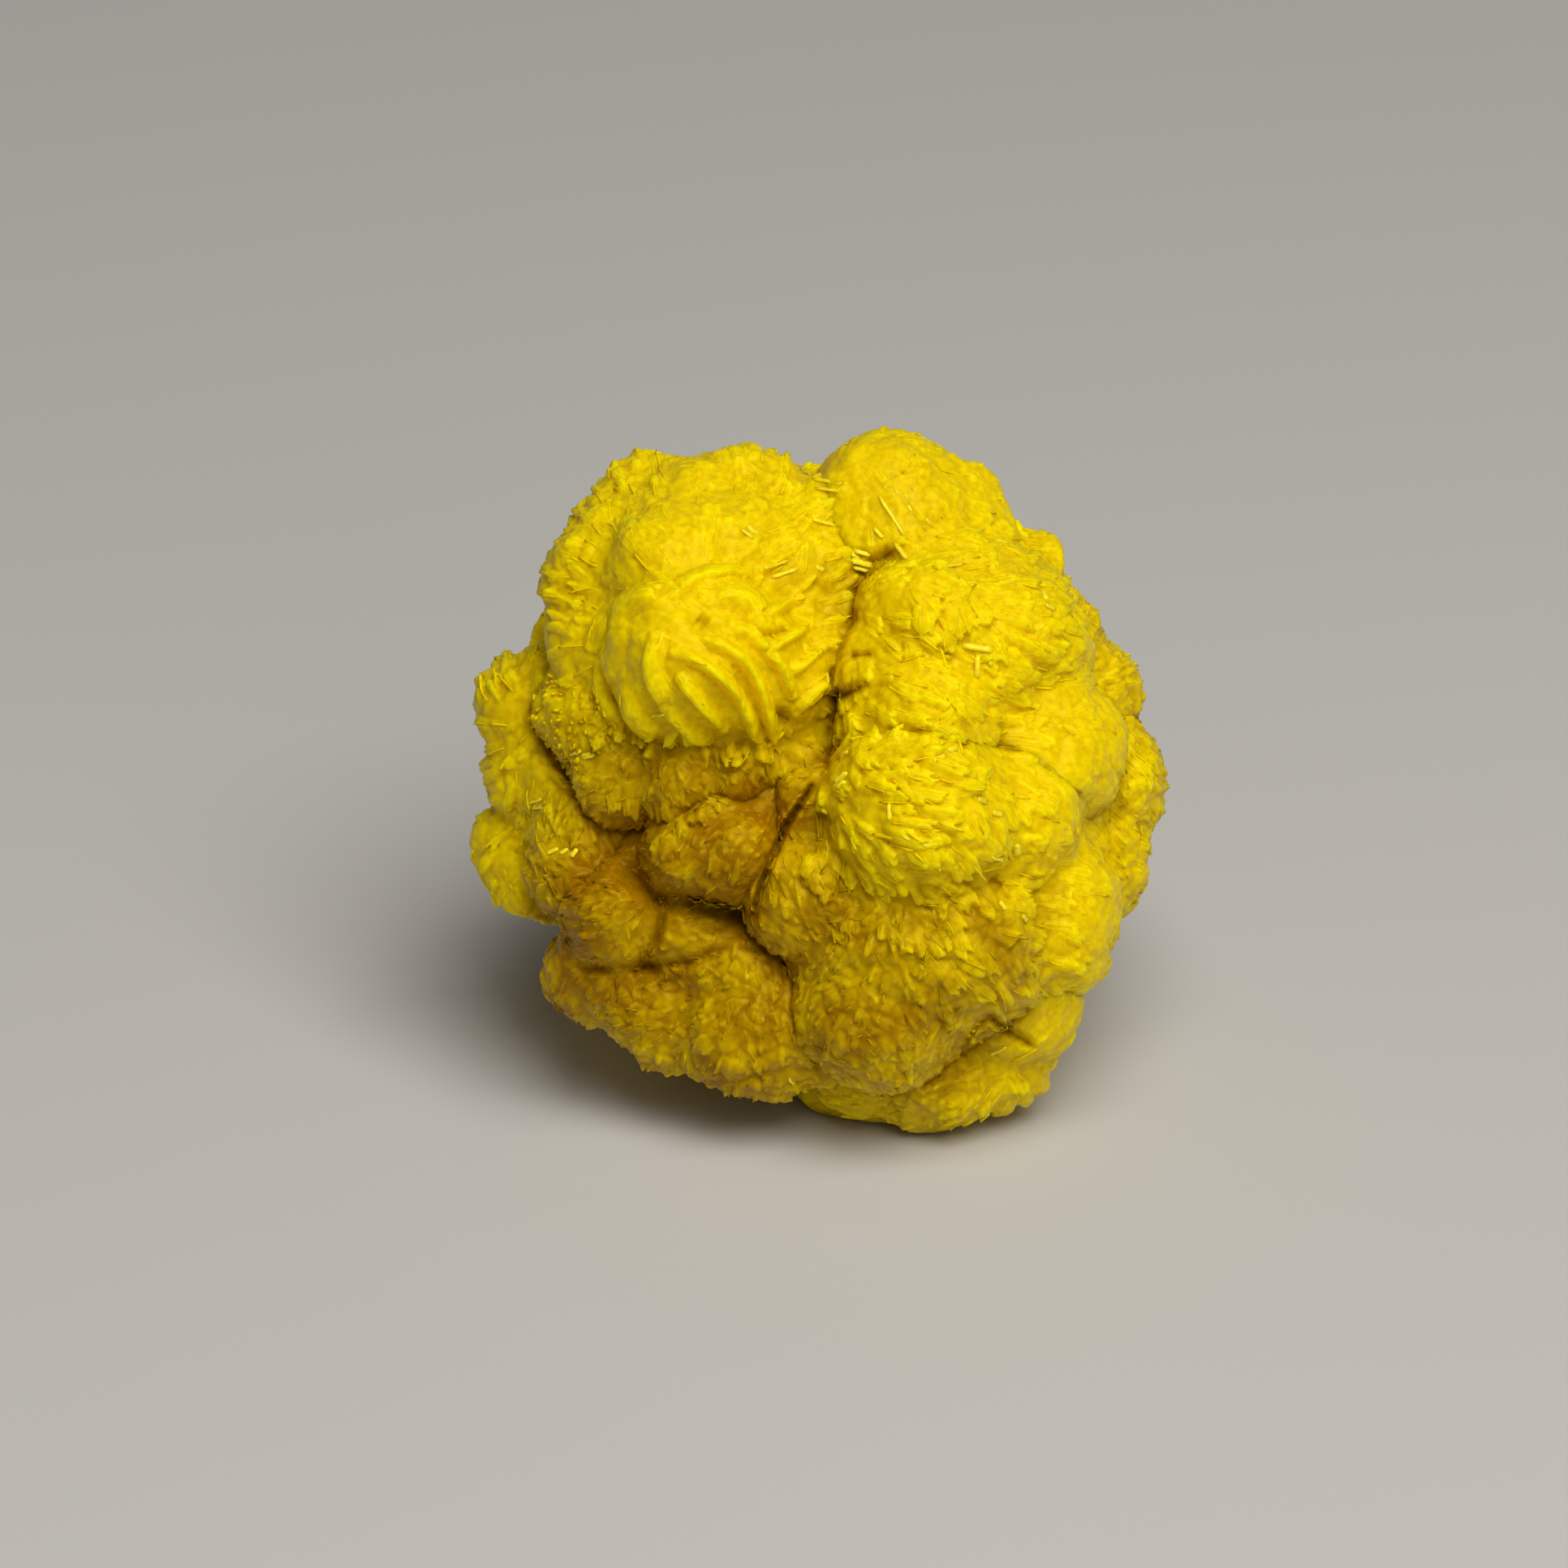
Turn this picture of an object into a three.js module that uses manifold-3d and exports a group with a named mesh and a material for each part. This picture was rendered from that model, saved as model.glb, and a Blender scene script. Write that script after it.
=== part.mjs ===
// Vanuralite crystal cluster: a ball of grown-together yellow rosettes, each
// one a rounded lobe of thin tabular crystals packed side by side.
// Millimetres, +Z up, -Y is the front, and the flat cut underneath is z = 0.

import * as THREE from "three";
import { mergeVertices } from "three/addons/utils/BufferGeometryUtils.js";
import Module from "manifold-3d";

const wasm = await Module();
wasm.setup();

// ---- driving dimensions -------------------------------------------------

const MIDDLE = new THREE.Vector3(0, 0.3, 5); // lobes face away from here
const CUT_HEIGHT = 0; // the flat base that the cluster rests on
const CUT_BLOCK = 30; // a block this wide and long takes away what is below

const RIB_SPACING = 0.66; // blade edges round the middle of a lobe
const RING_SPACING = 1.2; // corners along each blade edge
const RIB_STAND = 0.12; // blade edges stand out of the lobe's mean radius
const RIB_DEPTH = 0.16; // groove between two blade edges, and up to twice that
const POLE_DIMPLE = 0.22; // hollow where the edges of a lobe run together
const RIB_WANDER = 0.3; // share of the spacing by which an edge or groove strays
const RIB_SWIRL = 0.3; // radians that the edges sweep round from pole to pole
const LOBE_ROUGHNESS = 0.035; // share of the radius by which corners stray

const PLATE_THICKNESS = 0.18; // of the single crystals that stand proud
const PLATE_STAND = 0.24; // how far a crystal stands out of its lobe
const PLATE_ROOT = 0.4; // how deep it is seated in it
const PLATE_LONGEST = 1.2;
const PLATE_LENGTH_BY_RADIUS = 0.8; // and shorter than this on a small lobe
const PLATES_PER_MM2 = 0.11;
const PLATE_VARIETY = 0.25; // share by which their sizes differ
const PLATE_LEAN = 0.2; // radians, either way, off straight out
const PLATE_TWIST = 0.25; // radians, either way about its own root
const PLATE_CLEAR_OF_BASE = 0.45; // no crystals right above the cut

const TIDY = 0.045; // joining seams are straightened by up to this much

// ---- the lobes ----------------------------------------------------------
// Each is [x, y, z, radius]. A rosette shows its pole to the outside, and on
// the other lobes the crystals lie side by side across it.

const LEFT_CROWN = {
  crown: [-2.2, 0.55, 8.1, 2.0],
  browOver: [-2.3, -0.25, 8.85, 1.3],
  corner: [-2.9, 1.6, 9.35, 0.9],
  top: [-1.1, 1.2, 9.05, 1.3],
  cheek: [-3.6, 0.45, 8.1, 1.15],
  cheekHigh: [-3.2, 0.8, 8.95, 1.0],
  rosette: [-2.05, -1.6, 7.7, 1.5],
  innerHigh: [-0.5, 0.15, 8.6, 1.2],
  innerLow: [-0.75, -1.1, 7.55, 1.25],
  collar: [-3.4, -0.8, 6.6, 1.1],
  skirt: [-2.3, -1.5, 6.1, 1.3],
  innerSkirt: [-0.85, -1.35, 6.35, 1.15],
  innerFold: [-0.15, -0.9, 6.9, 0.95],
};

const LEFT_SIDE = {
  wing: [-4.4, 0.5, 6.1, 1.15],
  wingLow: [-4.45, 0.0, 5.35, 0.95],
  nub: [-4.95, 0.1, 4.1, 0.85],
  nubLow: [-4.4, -0.4, 3.6, 0.85],
  padHigh: [-3.7, -1.5, 4.55, 1.05],
  padLow: [-3.2, -2.1, 3.55, 1.25],
  sidePad: [-4.0, 1.4, 3.3, 1.1],
};

const LOWER_LEFT = {
  dome: [-1.5, -2.35, 5.0, 1.2],
  pebble: [-1.8, -2.2, 3.3, 1.05],
  apronLeft: [-3.35, -1.75, 2.35, 1.0],
  apronMiddle: [-2.4, -2.3, 2.25, 1.15],
  apronRight: [-1.1, -2.7, 2.1, 1.45],
  apronFront: [0.1, -2.7, 1.9, 1.2],
  gusset: [-0.6, -2.25, 3.1, 1.3],
};

const RIGHT_CROWN = {
  crown: [1.3, 1.25, 8.9, 1.7],
  shoulder: [2.2, 1.5, 8.95, 1.25],
  fan: [3.55, 1.55, 8.1, 0.85],
  brow: [2.3, -0.15, 7.45, 2.0],
  browRight: [3.3, -0.3, 7.5, 1.2],
  ledge: [1.8, -0.95, 8.3, 1.15],
  step: [1.3, -1.45, 7.7, 0.95],
  shelf: [1.7, -2.0, 7.05, 1.25],
};

const RIGHT_SIDE = {
  upperFlank: [3.75, 1.0, 7.1, 1.2],
  upperWing: [4.2, 0.9, 6.1, 1.1],
  bulge: [3.6, -0.9, 5.95, 1.6],
  wing: [4.6, 0.15, 5.0, 1.2],
  wingLow: [4.25, -0.5, 3.9, 1.2],
  flank: [3.55, -2.0, 3.6, 1.45],
  flankLow: [3.25, -2.4, 2.2, 1.1],
  sidePad: [4.3, 1.6, 3.6, 1.1],
};

const RIGHT_FRONT = {
  rosette: [1.7, -2.8, 5.8, 1.6],
  belly: [1.6, -2.4, 3.4, 2.15],
  bellyLow: [1.1, -3.2, 2.5, 1.5],
  bellyRight: [2.4, -3.2, 3.6, 1.4],
  bellyShoulder: [0.4, -2.9, 4.4, 1.25],
  footFront: [2.0, -2.7, 1.15, 1.05],
  footRight: [3.2, -2.4, 1.1, 1.0],
  footLeft: [0.8, -2.7, 1.15, 1.05],
};

const BACK = {
  crown: [-0.55, 3.05, 7.4, 1.85],
  crest: [0.9, 2.8, 8.5, 1.1],
  ear: [-2.6, 2.8, 7.8, 1.1],
  left: [-2.7, 2.7, 6.05, 1.85],
  right: [2.4, 2.6, 6.2, 1.98],
  middle: [-0.05, 2.85, 4.2, 2.25],
  rosette: [-1.1, 4.0, 6.2, 1.3],
  brow: [1.6, 3.8, 6.8, 1.1],
  shelf: [0.6, 4.3, 4.6, 1.2],
  dome: [-2.2, 3.6, 4.2, 1.1],
  pad: [2.9, 3.3, 3.8, 1.15],
  wingLeft: [-3.9, 2.3, 4.9, 1.0],
  wingRight: [4.1, 2.3, 5.2, 1.1],
  apronLeft: [-2.8, 2.5, 2.4, 1.0],
  apronMiddle: [-0.4, 3.4, 2.3, 1.2],
  apronRight: [2.2, 2.8, 2.0, 1.1],
  lowLeft: [-2.05, 1.25, 3.0, 1.85],
  lowRight: [2.4, 0.9, 2.85, 2.12],
};

const ROOT = {
  left: [-1.3, 0.4, 1.4, 1.8],
  right: [1.9, -0.4, 1.3, 1.8],
  front: [0.9, -1.7, 1.1, 1.5],
  back: [0.6, 2.1, 1.2, 1.7],
};

const CORE = {
  heart: [0.0, 0.9, 5.2, 3.3],
  heartLeft: [-2.5, 0.5, 5.2, 2.35],
  heartRight: [2.5, 0.4, 5.2, 2.4],
  heartLowLeft: [-1.8, -0.7, 3.4, 2.0],
  heartLowRight: [2.8, -0.8, 3.6, 2.1],
  heartBack: [0.0, 2.5, 4.9, 2.5],
  heartBackLeft: [-2.4, 2.0, 4.2, 2.0],
  heartBackRight: [2.6, 2.1, 4.8, 2.1],
  foot: [0.4, 1.2, 2.2, 2.3],
  root: [0.3, 0.0, 1.7, 2.4],
};

const REGIONS = [
  LEFT_CROWN,
  LEFT_SIDE,
  LOWER_LEFT,
  RIGHT_CROWN,
  RIGHT_SIDE,
  RIGHT_FRONT,
  BACK,
  ROOT,
  CORE,
];

// ---- helpers ------------------------------------------------------------

// Repeatable random numbers from 0 to 1 (mulberry32).
function seededRandom(seed) {
  let state = seed;
  return () => {
    state = (state + 0x6d2b79f5) | 0;
    let t = Math.imul(state ^ (state >>> 15), 1 | state);
    t = (t + Math.imul(t ^ (t >>> 7), 61 | t)) ^ t;
    return ((t ^ (t >>> 14)) >>> 0) / 4294967296;
  };
}

const random = seededRandom(40);

function spread(amount) {
  return (2 * random() - 1) * amount;
}

// A geometry with its corners alone, so that they can be joined.
function stripped(geometry) {
  geometry.deleteAttribute("normal");
  geometry.deleteAttribute("uv");
  return geometry;
}

// A closed three.js geometry as a manifold solid.
function toSolid(geometry) {
  const welded = mergeVertices(stripped(geometry), 1e-5);
  const mesh = new wasm.Mesh({
    numProp: 3,
    vertProperties: new Float32Array(welded.attributes.position.array),
    triVerts: new Uint32Array(welded.index.array),
  });
  return new wasm.Manifold(mesh);
}

// A manifold solid as a flat-shaded three.js geometry.
function toGeometry(solid) {
  const mesh = solid.getMesh();
  const geometry = new THREE.BufferGeometry();
  const positions = new THREE.BufferAttribute(mesh.vertProperties, 3);
  geometry.setAttribute("position", positions);
  geometry.setIndex(new THREE.BufferAttribute(mesh.triVerts, 1));
  const faceted = geometry.toNonIndexed();
  faceted.computeVertexNormals();
  return faceted;
}

// A direction with no bias to any side.
function anyDirection() {
  const z = spread(1);
  const ring = Math.sqrt(1 - z * z);
  const turn = spread(Math.PI);
  return new THREE.Vector3(ring * Math.cos(turn), ring * Math.sin(turn), z);
}

// Every lobe with the way its pole points.
function listLobes() {
  return REGIONS.flatMap((region) =>
    Object.entries(region).map(([name, [x, y, z, radius]]) => {
      const centre = new THREE.Vector3(x, y, z);
      const outward = centre.clone().sub(MIDDLE).normalize();
      const pole = name.startsWith("rosette") ? outward : sidewaysFrom(outward);
      return { centre, radius, pole, isBuried: region === CORE };
    }),
  );
}

// A direction square to another one, at any turn round it.
function sidewaysFrom(direction) {
  return anyDirection().cross(direction).normalize();
}

// ---- sub-parts ----------------------------------------------------------

// A plain faceted ball, for what only shows deep between the lobes.
function makeBall(centre, radius) {
  const ball = new THREE.IcosahedronGeometry(radius, 2);
  return toSolid(ball.translate(centre.x, centre.y, centre.z));
}

// One rounded lobe: a ball with blade edges and grooves that run from pole to
// pole, as the edges of the crystals packed side by side in it do.
function makeLobe({ centre, radius, pole, isBuried }) {
  if (isBuried) return makeBall(centre, radius);
  const ribs = Math.max(6, Math.round((2 * Math.PI * radius) / RIB_SPACING));
  const rings = Math.max(3, Math.round((Math.PI * radius) / RING_SPACING));
  const columns = 2 * ribs;
  const columnTurn = (2 * Math.PI) / columns;
  const ball = stripped(new THREE.SphereGeometry(radius, columns, rings));
  const welded = mergeVertices(ball, 1e-5);
  const corners = welded.attributes.position;
  const corner = new THREE.Vector3();
  const axis = new THREE.Vector3(0, 1, 0);
  const strays = Array.from({ length: columns }, () => ({
    turn: spread(RIB_WANDER) * columnTurn,
    depth: RIB_DEPTH * random(),
  }));
  for (let i = 0; i < corners.count; i += 1) {
    corner.fromBufferAttribute(corners, i);
    const height = corner.y / radius;
    const column = Math.round(Math.atan2(corner.z, corner.x) / columnTurn);
    const stray = strays[(column + columns) % columns];
    const isPole = Math.abs(height) > 0.999;
    const isGroove = !isPole && column % 2 !== 0;
    const groove = (RIB_DEPTH + stray.depth) * (1 - height ** 2);
    const edge = isGroove ? -groove : -stray.depth / 3;
    const relief = RIB_STAND + (isPole ? -POLE_DIMPLE : edge);
    corner.setLength(radius * (1 + spread(LOBE_ROUGHNESS)) + relief);
    corner.applyAxisAngle(axis, stray.turn + RIB_SWIRL * height);
    corners.setXYZ(i, corner.x, corner.y, corner.z);
  }
  welded.applyQuaternion(new THREE.Quaternion().setFromUnitVectors(axis, pole));
  welded.translate(centre.x, centre.y, centre.z);
  return toSolid(welded);
}

// One tabular crystal, flat-faced, with its free corners cut off. It stands
// along +Y of its own frame, is long in X and has its thickness in Z.
function makePlate(length, stand, thickness) {
  const half = length / 2;
  const outline = new THREE.Shape([
    new THREE.Vector2(-half * 0.8, -PLATE_ROOT),
    new THREE.Vector2(half * 0.8, -PLATE_ROOT),
    new THREE.Vector2(half, -stand * 0.35),
    new THREE.Vector2(half * 0.5, stand),
    new THREE.Vector2(-half * 0.5, stand),
    new THREE.Vector2(-half, -stand * 0.35),
  ]);
  const plate = new THREE.ExtrudeGeometry(outline, {
    depth: thickness,
    bevelEnabled: false,
  });
  return plate.translate(0, 0, -thickness / 2);
}

// True where a point on one lobe is not buried in another one.
function isExposed(point, owner, lobes) {
  if (point.z < CUT_HEIGHT + PLATE_CLEAR_OF_BASE) return false;
  return lobes.every(
    (lobe) => lobe === owner || point.distanceTo(lobe.centre) > lobe.radius,
  );
}

// The single crystals of one lobe, each in line with its blade edges.
function makePlates(lobe, lobes) {
  const { centre, radius, pole } = lobe;
  const count = Math.round(4 * Math.PI * radius ** 2 * PLATES_PER_MM2);
  const length = Math.min(PLATE_LONGEST, PLATE_LENGTH_BY_RADIUS * radius);
  const solids = [];
  for (let i = 0; i < count; i += 1) {
    const outward = anyDirection();
    const foot = centre.clone().addScaledVector(outward, radius);
    if (!isExposed(foot, lobe, lobes)) continue;
    const across = new THREE.Vector3().crossVectors(outward, pole).normalize();
    const along = new THREE.Vector3().crossVectors(across, outward);
    const frame = new THREE.Matrix4().makeBasis(along, outward, across.negate());
    const placed = new THREE.Matrix4()
      .makeTranslation(foot.x, foot.y, foot.z)
      .multiply(frame)
      .multiply(new THREE.Matrix4().makeRotationY(spread(PLATE_TWIST)))
      .multiply(new THREE.Matrix4().makeRotationX(spread(PLATE_LEAN)));
    const plate = makePlate(
      length * (1 + spread(PLATE_VARIETY)),
      PLATE_STAND * (1 + spread(PLATE_VARIETY)),
      PLATE_THICKNESS * (1 + spread(PLATE_VARIETY)),
    );
    solids.push(toSolid(plate.applyMatrix4(placed)));
  }
  return solids;
}

// Everything below the flat cut is taken away.
function cutFlat(solid) {
  const block = new THREE.BoxGeometry(CUT_BLOCK, CUT_BLOCK, CUT_BLOCK);
  block.translate(0, 0, CUT_HEIGHT - CUT_BLOCK / 2);
  return solid.subtract(toSolid(block));
}

// The outer skin alone, without any hollow closed in between the lobes.
function outerSkin(solid) {
  const bySize = solid.decompose().sort((a, b) => b.volume() - a.volume());
  return bySize[0];
}

// The whole cluster, grown together and cut flat.
function makeCluster() {
  const lobes = listLobes();
  const pieces = lobes.flatMap((lobe) => [makeLobe(lobe), ...makePlates(lobe, lobes)]);
  const grown = pieces.reduce((whole, piece) => whole.add(piece));
  return outerSkin(cutFlat(grown).asOriginal().simplify(TIDY));
}

// ---- the object ---------------------------------------------------------

const vanuralite = new THREE.MeshStandardMaterial({
  name: "vanuralite",
  color: new THREE.Color().setRGB(0.87, 0.74, 0.02, THREE.SRGBColorSpace),
  roughness: 0.5,
  metalness: 0,
});

const cluster = new THREE.Mesh(toGeometry(makeCluster()), vanuralite);
cluster.name = "vanuralite_cluster";

const object = new THREE.Group();
object.add(cluster);

export default object;
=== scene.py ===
import math
from collections import namedtuple

import bmesh
import bpy
import numpy as np
from bpy.props import FloatProperty, FloatVectorProperty, IntProperty, PointerProperty
from mathutils import Matrix, Vector, noise
from mathutils.bvhtree import BVHTree
from mathutils.kdtree import KDTree


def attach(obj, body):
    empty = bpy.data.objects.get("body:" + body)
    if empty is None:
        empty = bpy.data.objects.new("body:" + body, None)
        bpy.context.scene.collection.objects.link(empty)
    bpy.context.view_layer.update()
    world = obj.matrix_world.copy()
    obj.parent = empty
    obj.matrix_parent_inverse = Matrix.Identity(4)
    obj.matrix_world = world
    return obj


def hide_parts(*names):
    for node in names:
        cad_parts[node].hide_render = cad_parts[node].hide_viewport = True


bl_info = {
    "name": "Vanuralite crystal cluster",
    "version": (1, 0, 0),
    "blender": (4, 5, 0),
    "location": "3D View > Sidebar > Vanuralite",
    "description": "A ball of grown-together yellow rosettes of thin tabular crystals",
    "category": "Add Mesh",
}

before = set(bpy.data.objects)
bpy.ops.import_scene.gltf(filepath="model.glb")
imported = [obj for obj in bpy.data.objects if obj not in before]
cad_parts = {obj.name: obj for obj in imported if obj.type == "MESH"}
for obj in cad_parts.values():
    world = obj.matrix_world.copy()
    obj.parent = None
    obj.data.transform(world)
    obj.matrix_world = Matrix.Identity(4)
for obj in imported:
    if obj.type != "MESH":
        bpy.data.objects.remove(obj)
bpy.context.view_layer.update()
NODE = "vanuralite_cluster"
MM = 0.001

# ---- where things are ---------------------------------------------------
# Millimetres, +Z up, -Y is the front, and the flat cut underneath is z = 0.

MIDDLE = np.array((0.0, 0.3, 5.0))  # lobes face away from here

# The camera looks down at the front from a little above.
EYE_DISTANCE = 190.8
EYE_ELEVATION = math.radians(25.0)
EYE_AIM = Vector((-0.48, -0.017, 4.99))
EYE_LENS = 265.3
EYE_FORWARD = Vector((0.0, math.cos(EYE_ELEVATION), -math.sin(EYE_ELEVATION)))
EYE_UP = Vector((0.0, math.sin(EYE_ELEVATION), math.cos(EYE_ELEVATION)))
EYE_RIGHT = Vector((1.0, 0.0, 0.0))
EYE = EYE_AIM - EYE_FORWARD * EYE_DISTANCE

# The soft square lamps: place, side and colour. The main one stands to the right
# of, in front of and above the cluster.
KEY_PLACE = Vector((42.0, -92.0, 180.0))
LAMPS = {
    "key": (KEY_PLACE, 150.0, (1.0, 0.98, 0.94)),
    "fill": (Vector((60.0, -160.0, 90.0)), 100.0, (1.0, 0.98, 0.95)),
}
LAMP_AIM = Vector((0.0, 0.0, 5.0))
FLOOR_SIZE = 600.0

# Growth centres on the front, from which the blades near them run out. Each
# is millimetres to the right of and above the middle of the front view.
HEARTS = {
    "left_rosette": (-1.38, 2.66),
    "right_crown": (1.05, 5.20),
    "brow": (1.20, 2.85),
    "shelf": (0.95, 1.45),
    "right_rosette": (0.72, 0.35),
    "dome": (-0.25, -0.35),
    "wing": (-3.95, 1.05),
    "pebbles": (-2.10, -2.00),
    "flank": (4.40, 1.30),
    "belly": (1.60, -1.30),
    "apron": (-0.60, -2.40),
    "foot": (3.60, -4.60),
    "skirt": (-1.50, 1.20),
}

# Painted shade: how open to the light the crystals seem for their colour, by growth
# centre and otherwise by kind; below 1 paints a part darker, as if it lay in shade.
# It is 1 where nothing is given.
PAINTED_SHADE_TONES = {"dome": 0.46, "pebbles": 0.42, "apron": 0.57, "belly": 0.57, "skirt": 0.48,
         "druse": 0.75, "crumb": 0.86}

# The masses that the cluster is grown together from. Each has its lobes in runs:
# the growth centre, empty where each lobe has its own, the way the crystals
# grow, and then the lobes, each with its x, y, z and radius.
MASSES = {
    "left_crown": (
        ("left_rosette", "feather", (-2.2, 0.55, 8.1, 2.0)),
        ("left_rosette", "soft", (-2.3, -0.25, 8.85, 1.3)),
        ("left_rosette", "feather", (-2.7, 1.5, 9.2, 0.95)),
        ("left_rosette", "soft", (-1.9, 0.9, 9.05, 1.3), (-1.4, 0.2, 8.75, 1.4)),
        ("left_rosette", "feather", (-1.1, 1.2, 9.05, 1.3), (-3.4, 0.4, 8.55, 1.02),
         (-3.2, -0.6, 7.7, 1.1), (-3.1, 0.8, 8.85, 1.0)),
        ("left_rosette", "rose", (-1.98, -1.55, 8.0, 1.42), (-1.3, -1.45, 7.85, 1.3)),
        ("left_rosette", "feather", (-0.5, 0.15, 8.6, 1.2), (-0.75, -1.1, 7.55, 1.25),
         (0.05, -0.45, 7.75, 1.0), (0.1, 0.5, 8.75, 1.0)),
        ("left_rosette", "druse", (-3.4, -0.8, 6.6, 1.1)),
        ("skirt", "crumb", (-3.1, -1.55, 5.8, 0.8), (-2.15, -1.85, 6.05, 0.82),
         (-1.3, -1.85, 6.3, 0.72)),
        ("skirt", "plain", (-2.1, -0.8, 6.5, 1.4)),
        ("left_rosette", "feather", (-0.15, -1.4, 6.05, 0.85), (0.15, 0.75, 9.25, 0.8),
         (-0.15, -0.9, 6.9, 0.95)),
        ("left_rosette", "plain", (-2.0, 0.5, 6.2, 2.2)),
    ),
    "left_side": (
        ("wing", "feather", (-4.4, 0.5, 6.1, 1.15), (-4.45, 0.0, 5.35, 0.95), (-4.25, -0.55, 5.45, 0.7),
         (-5.0, -0.25, 3.98, 0.62)),
        ("wing", "crumb", (-4.4, -0.4, 3.6, 0.85), (-3.7, -1.2, 4.75, 0.9), (-3.9, -0.2, 4.9, 1.0)),
        ("pebbles", "crumb", (-3.9, -1.75, 4.25, 0.75)),
        ("", "crumb", (-4.0, 1.4, 3.3, 1.1)),
        ("", "plain", (-2.5, 0.5, 4.8, 2.2)),
    ),
    "lower_left": (
        ("dome", "crumb", (-2.05, -2.45, 4.9, 0.8), (-1.35, -2.62, 4.92, 0.88), (-1.7, -2.0, 5.3, 0.9),
         (-0.8, -1.75, 5.35, 0.78)),
        ("pebbles", "crumb", (-3.3, -2.4, 3.72, 0.9), (-2.07, -2.55, 3.42, 0.7),
         (-3.55, -2.15, 2.65, 0.85)),
        ("apron", "crumb", (-2.3, -2.3, 2.05, 1.02), (-0.96, -2.85, 1.95, 1.22),
         (-1.3, -2.65, 2.9, 0.95), (-2.8, -2.4, 2.05, 0.7), (0.1, -2.7, 2.0, 1.15)),
        ("", "plain", (-1.8, -0.9, 3.5, 1.9), (-2.4, -1.6, 4.1, 1.0)),
    ),
    "right_crown": (
        ("right_crown", "soft", (1.25, 1.25, 8.98, 1.6), (2.2, 1.5, 8.9, 1.15)),
        ("flank", "shelf", (3.45, 1.5, 8.0, 0.74)),
        ("brow", "shelf", (2.3, -0.15, 7.45, 2.0)),
        ("brow", "soft", (3.2, -0.3, 7.3, 1.3)),
        ("brow", "shelf", (1.8, -0.95, 8.3, 1.15), (1.3, -1.45, 7.7, 0.95)),
        ("shelf", "shelf", (1.7, -2.0, 7.05, 1.25)),
        ("flank", "crumb", (3.62, 1.0, 7.0, 1.1), (4.2, 0.9, 6.1, 1.1)),
        ("shelf", "soft", (3.55, -0.85, 5.95, 1.55)),
        ("", "plain", (2.4, 0.5, 6.2, 2.2)),
    ),
    "right_front": (
        ("shelf", "soft", (3.5, -0.9, 5.8, 1.45)),
        ("right_rosette", "soft", (2.9, -1.9, 5.2, 1.5)),
        ("right_rosette", "shelf", (1.7, -2.8, 5.8, 1.6)),
        ("flank", "crumb", (4.6, 0.15, 5.0, 1.2), (4.25, -0.5, 3.9, 1.2)),
        ("right_rosette", "soft", (3.55, -2.0, 3.6, 1.45)),
        ("", "crumb", (4.3, 1.6, 3.6, 1.1)),
        ("belly", "crumb", (1.6, -2.4, 3.4, 2.15), (1.1, -3.2, 2.5, 1.5)),
        ("belly", "shelf", (2.4, -3.2, 3.6, 1.4)),
        ("dome", "crumb", (-0.1, -2.95, 4.4, 1.0), (0.15, -2.1, 5.55, 0.85)),
        ("", "plain", (0.6, -2.6, 4.2, 1.2), (2.6, -0.8, 4.0, 2.3)),
    ),
    "foot": (
        ("foot", "soft", (3.25, -2.4, 2.2, 1.15)),
        ("foot", "crumb", (2.0, -2.7, 1.15, 1.05)),
        ("foot", "shelf", (3.1, -2.4, 1.1, 0.84)),
        ("foot", "crumb", (0.8, -2.7, 1.3, 0.9)),
        ("foot", "plain", (1.5, -2.0, 1.6, 1.4), (2.6, -1.6, 1.9, 1.4)),
    ),
    "back": (
        ("", "feather", (-0.55, 3.05, 7.4, 1.85)),
        ("", "shelf", (0.9, 2.8, 8.5, 1.1)),
        ("", "feather", (-2.6, 2.8, 7.8, 1.1), (-2.7, 2.7, 6.05, 1.85)),
        ("", "shelf", (2.4, 2.6, 6.2, 1.98)),
        ("", "feather", (-0.05, 2.85, 4.2, 2.25)),
        ("", "shelf", (-1.1, 4.0, 6.2, 1.3)),
        ("", "feather", (1.6, 3.8, 6.8, 1.1)),
        ("", "shelf", (0.6, 4.3, 4.6, 1.2)),
        ("", "crumb", (-2.2, 3.6, 4.2, 1.1)),
        ("", "feather", (2.9, 3.3, 3.8, 1.15)),
        ("", "shelf", (-3.9, 2.3, 4.9, 1.0)),
        ("", "feather", (4.1, 2.3, 5.2, 1.1)),
        ("", "crumb", (-2.8, 2.5, 2.4, 1.0), (-0.4, 3.4, 2.3, 1.2), (2.2, 2.8, 2.0, 1.1)),
        ("", "plain", (0.0, 2.2, 5.6, 2.6)),
    ),
    "root": (
        ("", "crumb", (-2.05, 1.25, 3.0, 1.85), (2.4, 0.9, 2.85, 2.12), (-1.3, 0.4, 1.4, 1.8),
         (1.9, -0.4, 1.3, 1.8)),
        ("foot", "crumb", (0.9, -1.7, 1.1, 1.38)),
        ("", "crumb", (0.6, 2.1, 1.2, 1.7)),
        ("", "plain", (0.4, 0.6, 2.6, 2.6)),
    ),
}

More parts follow.
